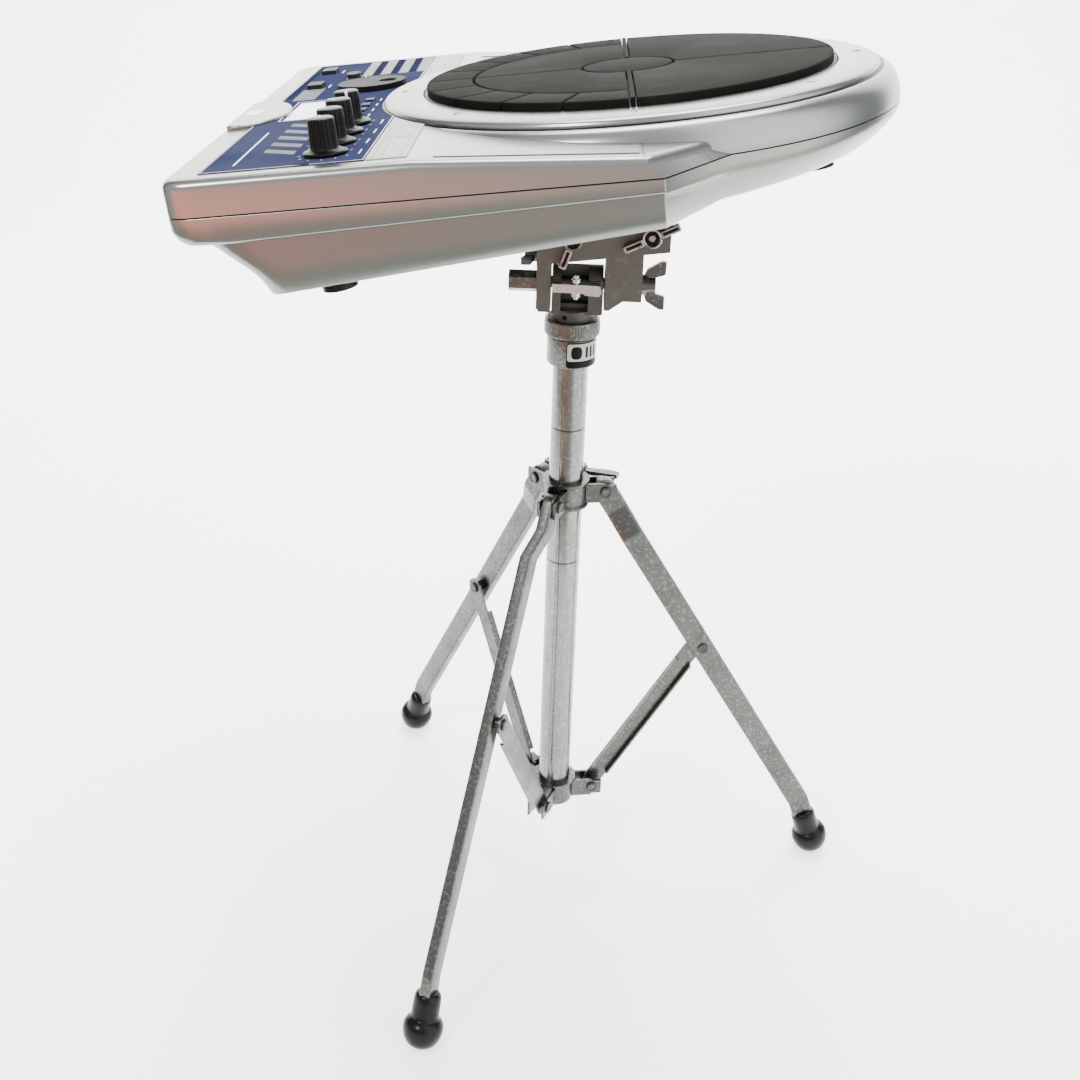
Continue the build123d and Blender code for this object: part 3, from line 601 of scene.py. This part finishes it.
def buildPad():
    r0, r1 = pad["inner"]
    q0, q1 = pad["outer"]
    half, middle = pad["gap"] / 2, pad["divider"]
    inner = tiles([(r0, r1, 90, 180, middle, half), (r0, r1, 180, 270, half, middle)])
    addPiece("inner_zones", inner, "pad_rubber", "unit", ["pad_inner"])
    wide = 180 / pad["outerZones"]
    starts = [90 + wide * i for i in range(pad["outerZones"])]
    edges = [(middle if a == starts[0] else half, middle if a == starts[-1] else half) for a in starts]
    outer = tiles([(q0, q1, a, a + wide, *g) for a, g in zip(starts, edges)])
    addPiece("outer_zones", outer, "pad_rubber", "unit", ["pad_ring"])
    front = tiles([(r0, q1, -90, 0, middle, half), (r0, q1, 0, 90, half, middle)])
    addPiece("front_zones", front, "pad_rubber", "unit", ["pad_quarters"])
    t = np.linspace(0, 2 * math.pi, 72, endpoint=False)
    disc = softTile(pad["centre"] * np.stack((np.cos(t), np.sin(t)), 1), pad["bottom"], pad["top"])
    addPiece("centre_zone", moved(disc, onUnit), "pad_rubber", "unit", ["pad_center"])


knob = {"at": -165.0, "across": (-166.0, -137.0, -108.0, -79.0), "pointer": (105, 165, 150, -80),
        "skirt": [(11.8, 0.9), (12.0, 1.2), (12.0, 2.0), (11.5, 2.6), (8.8, 3.3), (7.9, 4.0)],
        "grip": [(7.6, 4.8), (7.5, 12.0), (7.3, 18.6)], "crown": [(7.05, 19.3), (6.4, 19.7), (0.5, 19.7)]}


def knobShape():
    # a skirt, a grip whose radius dips eighteen times round, where sin(9 * angle) is nought, and a crown
    rows = [(r, z, 0.0) for r, z in knob["skirt"]] + [(r, z, 0.055) for r, z in knob["grip"]]
    rows += [(r, z, 0.02 if z < 19.5 else 0.0) for r, z in knob["crown"]]
    return lathe(rows, 216, wave=lambda a: -np.exp(-(np.sin(9 * a) / 0.35) ** 2))


def pointerShape(angle):
    # a thin raised line over the crown and down the side
    side = [(2.0, 19.6), (6.4, 19.65), (7.35, 18.9), (7.7, 12.0), (8.0, 5.2)]
    outer = np.array(side) + np.array((0.12, 0.14))
    profile = np.concatenate((np.array(side) - (0.5, 0.4), outer[::-1]))
    return moved(turnUp(prism(profile, -0.65, 0.65)), turnAbout("Z", angle))


def turnUp(shape):
    # (x, y, z) to (x, z, y), so that a profile drawn flat stands up
    return shape[0][:, [0, 2, 1]], [f[::-1] for f in shape[1]]


def buildKnobs():
    for i, (v, angle) in enumerate(zip(knob["across"], knob["pointer"]), 1):
        place = onUnit @ Matrix.Translation((knob["at"], v, case["panel"]))
        addPiece(f"knob_cap_{i}", moved(knobShape(), place), "black_plastic", f"knob_{i}", [f"knob_{i}"])
        pointer = moved(pointerShape(angle), place)
        addPiece(f"knob_pointer_{i}", pointer, "white_mark", f"knob_{i}")


# a leg, in millimetres: step is how far it moves sideways below its hinge, and toe is what lies past the bend
leg = {"pivot": (28.5, 346.5), "tilt": 31.2, "wide": 17.0, "thick": 8.5, "edge": 1.7, "step": 7.0,
       "stepFrom": 19.0, "stepTo": 40.0, "bend": 344.0, "toe": 34.0, "footTilt": 20.0, "strutAt": 159.0}


def legShape():
    # a rounded rectangle carried down the leg by s: its width is a half circle at the hinge, and its middle
    # steps sideways and bends; rows stand close together on either side of each turn
    half = leg["wide"] / 2
    e = leg["edge"]
    hinge = half * np.sin(np.linspace(-math.pi / 2 + 0.2, 0, 9))
    turns = [8] + [leg[end] + side for end in ("stepFrom", "stepTo") for side in (-1.5, 0, 1.5)]
    straight = np.linspace(60, leg["bend"] - 3, 12)
    s = np.concatenate((hinge, turns, straight, [leg["bend"], leg["bend"] + 3, leg["bend"] + leg["toe"]]))
    wide = np.sqrt(np.maximum(half ** 2 - np.minimum(s, 0) ** 2, 0.5))
    thick = leg["thick"] / 2
    shift = -leg["step"] * np.clip((s - leg["stepFrom"]) / (leg["stepTo"] - leg["stepFrom"]), 0, 1)
    lean = -math.tan(math.radians(leg["tilt"] - leg["footTilt"])) * np.maximum(s - leg["bend"], 0)
    corner = np.linspace(0, math.pi / 2, 5)
    quarter = np.stack((np.cos(corner), np.sin(corner)), 1)
    signs = ((1, 1), (-1, 1), (-1, -1), (1, -1))
    rows = []
    for i, (a, b) in enumerate(signs):
        q = quarter if i % 2 == 0 else quarter[::-1]
        across = a * (wide[:, None] - e + e * q[:, 0])
        rows.append(np.stack((across, b * (thick - e + e * q[:, 1]) * np.ones((len(s), 1))), -1))
    outline = np.concatenate(rows, 1)
    points = np.stack((outline[..., 0] + lean[:, None], outline[..., 1] + shift[:, None],
                       -s[:, None] * np.ones(outline.shape[:2])), -1)
    return grid(points, wrapAcross=True, capStart=True, capEnd=True)


# turns what is drawn up +Z to lie along +Y
layAlong = Matrix(((1, 0, 0, 0), (0, 0, 1, 0), (0, -1, 0, 0), (0, 0, 0, 1)))


def rivetPin(x, y0, y1, z, radius=2.4):
    # a pin across the leg, along y
    pin = lathe([(radius - 0.3, y0), (radius, y0 + 0.3), (radius, y1 - 0.3), (radius - 0.3, y1)], 32)
    return moved(pin, Matrix.Translation((x, 0, z)) @ layAlong)


def eyelet(x, y, z, side, radius=4.4):
    # a rolled rivet head with a hollow middle, facing along side * y
    profile = smoothLine([(radius, 0), (radius - 0.1, 0.9), (radius - 1.1, 1.4), (radius - 2.1, 1.0),
                          (radius - 2.5, 0.1)], 4)
    ring = lathe(np.concatenate((profile, [(radius - 2.5, -0.6), (radius, -0.6)])), 48, ring=True)
    return moved(ring, Matrix.Translation((x, y, z)) @ turnAbout("X", -90 * side))


def placeLeg(k):
    r, z = leg["pivot"]
    return legFrame(k) @ Matrix.Translation((r, 0, z)) @ turnAbout("Y", -leg["tilt"])


def buildLegs():
    side = -leg["step"] - leg["thick"] / 2
    far = -leg["step"] + leg["thick"] / 2
    z = -leg["strutAt"]
    for k in range(stand["legs"]):
        n = k + 1
        place = placeLeg(k)
        rivet = join(rivetPin(0, side - 1.0, 4.9, z), eyelet(0, side - 0.1, z, -1), eyelet(0, 3.6, z, 1))
        washer = lathe([(2.4, far), (4.2, far), (4.2, 1.2), (2.4, 1.2)], 32, ring=True)
        washer = moved(washer, Matrix.Translation((0, 0, z)) @ layAlong)
        addPiece(f"leg_bar_{n}", moved(legShape(), place), "zinc_steel", f"leg_{n}", [f"leg_{n}"])
        rivet = moved(join(rivet, washer), place)
        addPiece(f"leg_rivet_{n}", rivet, "dark_steel", f"leg_{n}")


foot = {"radius": 221.0, "height": 14.0, "tilt": 20.0,
        "profile": [(1.0, -14.6), (4.5, -14.1), (9.0, -11.9), (12.2, -8.2), (14.1, -3.2), (14.6, 1.4),
                    (14.0, 4.9), (12.3, 7.6), (10.7, 9.2), (10.15, 11.5), (10.0, 17.0), (9.9, 23.0),
                    (9.3, 26.3), (7.6, 28.4), (4.5, 29.0), (1.0, 29.0)]}


def buildFeet():
    for k in range(stand["legs"]):
        spot = Matrix.Translation((foot["radius"], -leg["step"], foot["height"]))
        place = legFrame(k) @ spot @ turnAbout("Y", -foot["tilt"])
        points, faces = moved(lathe(smoothLine(foot["profile"], 5), 96), place)
        points[:, 2] = np.maximum(points[:, 2], 0)   # the flat spot it stands on
        addPiece(f"rubber_foot_{k + 1}", (points, faces), "foot_rubber", f"leg_{k + 1}", [f"foot_{k + 1}"])


def buildClutch():
    # a knurled ring: the radius ripples sixty times round over its grip
    rows = [(15.0, 467.4, 0), (18.2, 467.4, 0), (18.9, 468.0, 0), (19.1, 468.8, 0), (19.2, 469.2, 1),
            (19.2, 477.2, 1), (19.1, 477.6, 0), (18.6, 478.8, 0), (17.8, 479.3, 0), (16.5, 479.4, 0),
            (16.5, 474.0, 0), (14.6, 473.6, 0)]
    ring = lathe(rows, 480, ring=True, wave=lambda a: 0.016 * (np.abs(np.sin(30 * a)) - 1))
    addPiece("clutch_grip", ring, "zinc_steel", "clutch", ["clutch_ring"])


# printed marks: stripes are (first place, step, how many), and panelEdge is the panel's (u0, u1, half width)
prints = {"lift": 0.03, "top": case["panel"] + 0.5, "line": 0.45, "stripes": (-158.0, 19.5, 5),
          "stripeWide": 9.0, "stripeSlant": 12, "farStripes": (-187.0, 13.0, 4), "farReach": (118, 187),
          "tickRing": 14.6, "bezelMark": 141.5, "panelEdge": (-228.4, -141.6, 189.4),
          "keyMarks": (4.0, -14.5, -33.0, -51.5),
          "buttonMarks": ((-206.0, 150.0), (-205.0, 84.0), (-184.5, 119.0)),
          "stripFrames": (-188, 102), "stripDots": (-134, 138), "stripLines": (-182, 112)}


def flatMark(corners, lift=1.0):
    # a print: an outline just proud of the panel
    low = prints["top"] - 0.05
    return prism(np.array(corners, float), low, prints["top"] + prints["lift"] * lift)


def bar(u0, u1, v0, v1, lift=1.0):
    return flatMark([(u0, v0), (u1, v0), (u1, v1), (u0, v1)], lift)


def outlineMark(u0, u1, v0, v1, wide):
    return join(bar(u0, u0 + wide, v0, v1), bar(u1 - wide, u1, v0, v1),
                bar(u0 + wide, u1 - wide, v0, v0 + wide), bar(u0 + wide, u1 - wide, v1 - wide, v1))


def ticksRound(u, v, radius, angles, size=(1.7, 0.4)):
    # short ticks pointing away from a centre, one at each angle
    a = np.radians(angles)
    across = np.stack((np.cos(a), np.sin(a)), 1)
    along = np.stack((-across[:, 1], across[:, 0]), 1)
    spot = np.array((u, v)) + across * radius
    signs = ((-1, -1), (1, -1), (1, 1), (-1, 1))
    corners = [spot + across * i * size[0] / 2 + along * j * size[1] / 2 for i, j in signs]
    return [flatMark(c) for c in np.stack(corners, 1)]


def bezelMarks():
    # eight small open rings printed round the rim
    turn = np.radians(np.linspace(20, 300, 20))
    circle = np.stack((np.cos(turn), np.sin(turn)), 1)
    loop = np.concatenate((circle * 2.6, circle[::-1] * 1.9))
    loop[:, 1] *= 0.8
    out = Matrix.Translation((prints["bezelMark"], 0, 0))
    return [moved(prism(loop, -4.9, -4.12), turnAbout("Z", a) @ out) for a in range(0, 360, 45)]


def paleMarks():
    # slanted stripes beside the display, and a block under it
    start, step, count = prints["stripes"]
    wide, slant = prints["stripeWide"], prints["stripeSlant"]
    marks = [flatMark([(-203, v + slant), (-184, v), (-184, v + wide), (-203, v + wide + slant)])
             for v in start + step * np.arange(count)]
    return marks + [bar(-221, -206, 30, 74)]


def farMarks():
    # the far stripes, light with a dark gap after all but the last, each running back by two along its length
    first, gap, count = prints["farStripes"]
    v0, v1 = prints["farReach"]
    light = [flatMark([(u, v0), (u + 7, v0), (u + 5, v1), (u - 2, v1)])
             for u in first + gap * np.arange(count)]
    dark = [flatMark([(u + 7, v0), (u + 12, v0), (u + 10, v1), (u + 5, v1)])
            for u in first + gap * np.arange(count - 1)]
    return light, dark + [bar(-228, -223, 40, 182), bar(-178, -170, -190, -186)]


def whiteMarks():
    # the panel's outline, tick rings round the knobs, and a short line by each control in place of its word
    u0, u1, half = prints["panelEdge"]
    marks = [outlineMark(u0, u1, -half, half, prints["line"])]
    for v in knob["across"]:
        marks += ticksRound(knob["at"], v, prints["tickRing"], np.linspace(-150, 150, 11) + 180)
    marks += [bar(-146.8, -146.0, v - 6, v + 6) for v in knob["across"]]
    marks += [bar(-158.5, -157.7, v - 4, v + 4) for v in prints["keyMarks"]]
    marks += [bar(u, u + 0.9, v - 6, v + 6) for u, v in prints["buttonMarks"]]
    return marks + [bar(-213.5, -212.5, -176, -84), outlineMark(-215, -187, -47, 23, 0.6)]


def greyMarks():
    # frames, dots and lines of the two touch strips, and the rings on the rim
    marks = [outlineMark(-138, -122, v0, v0 + 86, 0.6) for v0 in prints["stripFrames"]]
    marks += [bar(u, u + 3.2, v - 2.5, v + 2.5)
              for v in prints["stripDots"] for u in (-136.5, -131.5, -126.5)]
    marks += [bar(-133, -132.4, v, v + 30) for v in prints["stripLines"]]
    return marks + bezelMarks()


def addPrint(name, marks, finish):
    addPiece(name, moved(join(*marks), onUnit), finish, "unit")


def buildPrints():
    light, dark = farMarks()
    addPrint("pale_print", paleMarks(), "print_pale")
    addPrint("light_print", light, "print_light")
    addPrint("dark_print", dark, "print_dark")
    addPrint("white_print", whiteMarks(), "white_mark")
    addPrint("grey_print", greyMarks(), "print_grey")


# wing screws; front gives each one's x, its height and how far its blades are turned
wing = {"hub": 6.6, "high": 6.5, "span": 19.5, "blade": 5.0, "face": -22.3,
        "front": ((-1.7, 538.0, 70.0), (49.4, 541.5, 25.0))}


def screwHead():
    # a cup with a rim, its floor, and the stud's end standing in it, then the shank below; axis +Z
    r = wing["hub"]
    cup = [(0.4, 0.1), (r - 0.6, 0.1), (r, 0.6), (r, 5.6), (r - 0.5, 6.3), (r - 1.1, 6.4), (r - 1.7, 5.9),
           (r - 2.1, 4.2), (2.5, 4.0), (2.4, 5.6), (2.0, 6.0), (0.4, 6.1)]
    return join(lathe(cup, 64), lathe([(2.6, -5.0), (3.0, -4.6), (3.0, 0.3)], 32))


def screwBlades(lift=0.0, inset=0.0):
    # two flat blades along x; with an inset, the dark slot along the outer edge of each
    shapes = []
    for side in (-1, 1):
        x0, x1 = sorted((side * (6.0 + inset), side * (wing["span"] - inset)))
        half = wing["blade"] / 2 - inset
        shapes.append(slab(x0, x1, -half, half, 1.4 if not inset else 4.0, wing["high"] + lift))
    return join(*shapes)


def buildWings():
    for i, (x, z, turn) in enumerate(wing["front"], 1):
        place = onTilt @ Matrix.Translation((x, wing["face"], z)) @ turnAbout("Y", -turn) @ turnAbout("X", 90)
        body = f"front_screw_{i}"
        floor = lathe([(4.45, 4.3), (4.3, 4.6), (2.5, 4.5)], 48)
        addPiece(f"screw_head_{i}", moved(screwHead(), place), "dark_chrome", body, [f"front_wing_{i}"])
        addPiece(f"screw_blades_{i}", moved(screwBlades(), place), "dark_chrome", body, bevel=0.7)
        addPiece(f"screw_floor_{i}", moved(floor, place), "black_plastic", body)
        addPiece(f"screw_slots_{i}", moved(screwBlades(0.06, 1.5), place), "black_plastic", body)


# the badge on the sleeve: label is its two angles, labelHigh its bottom and top
sleeve = {"radius": 17.0, "label": (-101, -8), "labelHigh": (447.4, 465.6)}


def curvedPatch(radius, thick, a0, a1, z0, z1, corner=1.6):
    # a rounded rectangle bent round the tube's axis, with a front, a back and an edge
    wide = math.radians(a1 - a0) * radius
    high = z1 - z0
    corners = [(0, 0, corner), (wide, 0, corner), (wide, high, corner), (0, high, corner)]
    line = resample(rounded(corners, 5), 1.2)
    middle = np.array((wide / 2, high / 2))
    rows = [(line - middle) * k + middle for k in (0.02, 0.25, 0.5, 0.75, 0.92, 0.98, 1.0, 1.0)]
    out = [radius + thick] * 6 + [radius + thick * 0.6, radius - 0.3]
    points = []
    for row, r in zip(rows, out):
        a = math.radians(a0) + row[:, 0] / radius
        points.append(np.stack((r * np.cos(a), r * np.sin(a), z0 + row[:, 1]), 1))
    return grid(np.array(points), wrapAcross=True, capStart=True)


def buildSleeve():
    # a plain collar at the tube's top and its badge: a pale field on a dark edge, a roundel and three bars
    profile = [(12.45, 446.0), (15.2, 446.0), (16.4, 446.6), (17.0, 447.8), (17.0, 466.2), (16.4, 467.0),
               (14.1, 467.0), (14.1, 473.6), (12.45, 473.6)]
    addPiece("tube_sleeve", lathe(profile, 128, ring=True), "zinc_steel", "stand", ["sleeve"])
    a0, a1 = sleeve["label"]
    z0, z1 = sleeve["labelHigh"]
    r = sleeve["radius"]
    edge = curvedPatch(r, 0.25, a0, a1, z0, z1, 2.6)
    field = curvedPatch(r, 0.4, a0 + 2.2, a1 - 2.2, z0 + 5.0, z1 - 0.8, 2.0)
    roundel = curvedPatch(r, 0.5, a0 + 11, a0 + 37, z0 + 6.4, z1 - 2.4, 3.8)
    starts = [a0 + 46 + 12 * i for i in range(3)]
    bars = [curvedPatch(r, 0.5, a, a + 6, z0 + 7.0, z1 - 3.0, 0.9) for a in starts]
    addPiece("badge_edge", edge, "black_plastic", "stand")
    addPiece("badge_field", field, "badge_pale", "stand")
    addPiece("badge_marks", join(roundel, *bars), "black_plastic", "stand")


# the collars' rivets: radius, height and body of each set; ears is half the width of a pair of ears and heads
collars = {"upper": (28.5, 346.5, "collar"), "lower": (30.0, 77.5, "stand"), "ears": 8.3, "sunk": 0.9,
           "head": 4.5}


def buildEyelets():
    out, head = collars["ears"] - collars["sunk"], collars["head"]
    for name, (r, z, body) in (("upper", collars["upper"]), ("lower", collars["lower"])):
        for k in range(stand["legs"]):
            pair = moved(join(eyelet(r, -out, z, -1, head), eyelet(r, out, z, 1, head)), legFrame(k))
            addPiece(f"{name}_eyelet_{k + 1}", pair, "dark_steel", body)


# how much the edges of the pieces kept from the part are rounded, in millimetres
cadEdges = {"saddle": 0.7, "head_base": 0.6, "brake_bar": 0.5, "upper_collar": 0.35, "lower_collar": 0.35,
            "collar_wing": 0.6, "tilt_nut": 0.8, "side_wing": 0.6, "tilt_bolt": 0.6, "mount_plate": 0.5,
            "strut_1": 0.35, "strut_2": 0.35, "strut_3": 0.35, "jog_dial": 0.4, "button_1": 0.5,
            "button_2": 0.5, "button_3": 0.4, "key_strip": 0.35, "case_feet": 0.8, "power_button": 0.5,
            "divider_strips": 0.3, "display_window": 0.1}


def softenCad():
    for name, width in cadEdges.items():
        node = frame["nodes"][name]
        node.data.set_sharp_from_angle(angle=math.radians(35))
        softenEdges(node, width)


buildCase()
buildPad()
buildKnobs()
buildLegs()
buildFeet()
buildClutch()
buildPrints()
buildWings()
buildSleeve()
buildEyelets()
softenCad()
print("new pieces done")

# the floor, in metres: flat from front to back, then a bend and a wall; sides are its half widths at each end
studio = {"floorColor": (0.93, 0.93, 0.925), "glow": 1.5, "back": 1.5, "bend": 0.7, "front": 0.55,
          "sides": (0.6, 2.6), "rise": 2.6}


def sweepFloor():
    # flat, then a quarter circle up, then a wall: (y, z) carried along x
    t = np.linspace(0, math.pi / 2, 24)
    back, bend = studio["back"], studio["bend"]
    y = np.concatenate(([-studio["front"]], back + bend * np.sin(t), [back + bend]))
    z = np.concatenate(([0], bend * (1 - np.cos(t)), [studio["rise"]]))
    n = len(y)
    points = np.zeros((2 * n, 3))
    side = np.interp(y, (y[0], y[-1]), studio["sides"])
    points[:n] = np.stack((-side, y, z), 1)
    points[n:] = np.stack((side, y, z), 1)
    i = np.arange(n - 1)
    mesh = bpy.data.meshes.new("floor")
    mesh.from_pydata(points.tolist(), [], np.stack((i, n + i, n + i + 1, i + 1), 1).tolist())
    mesh.shade_smooth()
    floor = bpy.data.objects.new("floor", mesh)
    bpy.context.scene.collection.objects.link(floor)
    f = Finish("floor cloth", studio["floorColor"], 0.9, Emission_Color=(1, 1, 0.985, 1),
               Emission_Strength=studio["glow"])
    # soft darker patches on the cloth: painted shade of its folds
    foldShade = f.blotch(scale=3.0, detail=6.0, level=0.35, soft=0.4)
    f.tint(foldShade["Mask"], (0.88, 0.88, 0.87), 0.5)
    mesh.materials.append(f.done())


def areaLight(name, place, target, size, power, color=(1, 1, 1)):
    data = bpy.data.lights.new(name, "AREA")
    data.shape, data.size, data.energy, data.color = "DISK", size, power, color
    lamp = bpy.data.objects.new(name, data)
    bpy.context.scene.collection.objects.link(lamp)
    lamp.location = place
    lamp.rotation_euler = (Vector(target) - Vector(place)).to_track_quat("-Z", "Y").to_euler()


# the room's colours: warm and plain run from straight down to straight up; warmth, how much of the warm one
# shows, and around, how bright it is, run once round the object
sky = {"strength": 1.0,
       "warm": ((0.0, (0.95, 1.02, 0.88)), (0.25, (0.95, 1.02, 0.88)), (0.275, (0.60, 0.50, 0.43)),
                (0.315, (0.56, 0.44, 0.38)), (0.335, (1.6, 0.85, 0.70)), (0.36, (5.6, 2.0, 1.55)),
                (0.44, (5.6, 2.1, 1.65)), (0.48, (2.4, 1.7, 1.5)), (0.53, (1.3, 1.35, 1.4)),
                (1.0, (1.3, 1.3, 1.3))),
       "plain": ((0.0, (0.70, 0.75, 0.65)), (0.2, (0.6, 0.64, 0.57)), (0.3, (1.1, 1.18, 1.06)),
                 (0.36, (1.5, 1.55, 1.45)), (0.44, (1.1, 1.15, 1.1)), (0.52, (1.5, 1.6, 1.65)),
                 (1.0, (1.3, 1.3, 1.3))),
       "warmth": ((0.0, 0.0), (0.30, 0.0), (0.36, 1.0), (0.465, 1.0), (0.485, 0.45), (0.505, 0.2),
                  (0.53, 0.0), (1.0, 0.0)),
       "around": ((0.0, 1.0), (0.10, 1.0), (0.14, 0.25), (0.20, 0.25), (0.24, 0.9), (0.50, 0.9), (0.55, 1.1),
                  (0.60, 3.2), (0.72, 3.2), (0.78, 0.9), (0.80, 0.25), (0.86, 0.25), (0.90, 1.0), (1.0, 1.0))}


def fillRamp(ramp, stops):
    ramp.elements[0].position, ramp.elements[1].position = stops[0][0], stops[-1][0]
    ramp.elements[0].color, ramp.elements[1].color = stops[0][1], stops[-1][1]
    for position, color in stops[1:-1]:
        ramp.elements.new(position).color = color


def lightScene():
    # the room: height and share turn a direction into nought to one, upwards and round, for the four ramps
    world = bpy.data.worlds.new("room")
    bpy.context.scene.world = world
    world.use_nodes = True
    tree = world.node_tree
    shade = tree.nodes["Background"]
    spot = tree.nodes.new("ShaderNodeTexCoord")
    split = tree.nodes.new("ShaderNodeSeparateXYZ")
    tree.links.new(spot.outputs["Generated"], split.inputs[0])
    height = mathNode(tree, "MULTIPLY_ADD", split.outputs["Z"], 0.5)
    height.node.inputs[2].default_value = 0.5
    turn = mathNode(tree, "ARCTAN2", split.outputs["X"], mathNode(tree, "MULTIPLY", split.outputs["Y"], -1.0))
    share = mathNode(tree, "MULTIPLY_ADD", turn, 0.5 / math.pi)
    share.node.inputs[2].default_value = 0.5
    ramps = {}
    for name, at in (("warm", height), ("plain", height), ("warmth", share), ("around", share)):
        ramp = tree.nodes.new("ShaderNodeValToRGB")
        stops = [(p, (*c, 1) if isinstance(c, tuple) else (c, c, c, 1)) for p, c in sky[name]]
        fillRamp(ramp.color_ramp, stops)
        tree.links.new(at, ramp.inputs[0])
        ramps[name] = ramp.outputs[0]
    room, lit = tree.nodes.new("ShaderNodeMix"), tree.nodes.new("ShaderNodeMix")
    room.data_type, lit.data_type, lit.blend_type = "RGBA", "RGBA", "MULTIPLY"
    lit.inputs["Factor"].default_value = 1.0
    wires = ((ramps["warmth"], room.inputs["Factor"]), (ramps["plain"], room.inputs[6]),
             (ramps["warm"], room.inputs[7]), (room.outputs[2], lit.inputs[6]),
             (ramps["around"], lit.inputs[7]), (lit.outputs[2], shade.inputs["Color"]))
    for source, socket in wires:
        tree.links.new(source, socket)
    shade.inputs["Strength"].default_value = sky["strength"]
    areaLight("key light", (-1.1, -1.5, 2.1), (0, 0, 0.3), 0.6, 50)
    areaLight("ceiling light", (0.1, 0.8, 2.5), (0, 0.4, 0.2), 1.6, 75)
    areaLight("backdrop light", (0.0, 0.7, 2.4), (0, 2.3, 0.8), 1.6, 90)


eye = {"place": (0.0, -0.9228, 0.8091), "pitch": 28.70, "yaw": 1.083, "roll": 1.782, "lens": 47.26}


def placeCamera():
    data = bpy.data.cameras.new("eye")
    data.lens, data.sensor_width, data.clip_start = eye["lens"], 36.0, 0.05
    camera = bpy.data.objects.new("eye", data)
    bpy.context.scene.collection.objects.link(camera)
    camera.matrix_world = (Matrix.Translation(eye["place"]) @ turnAbout("Z", eye["yaw"])
                           @ turnAbout("X", 90 - eye["pitch"]) @ turnAbout("Z", eye["roll"]))
    bpy.context.scene.camera = camera


sweepFloor()
lightScene()
placeCamera()
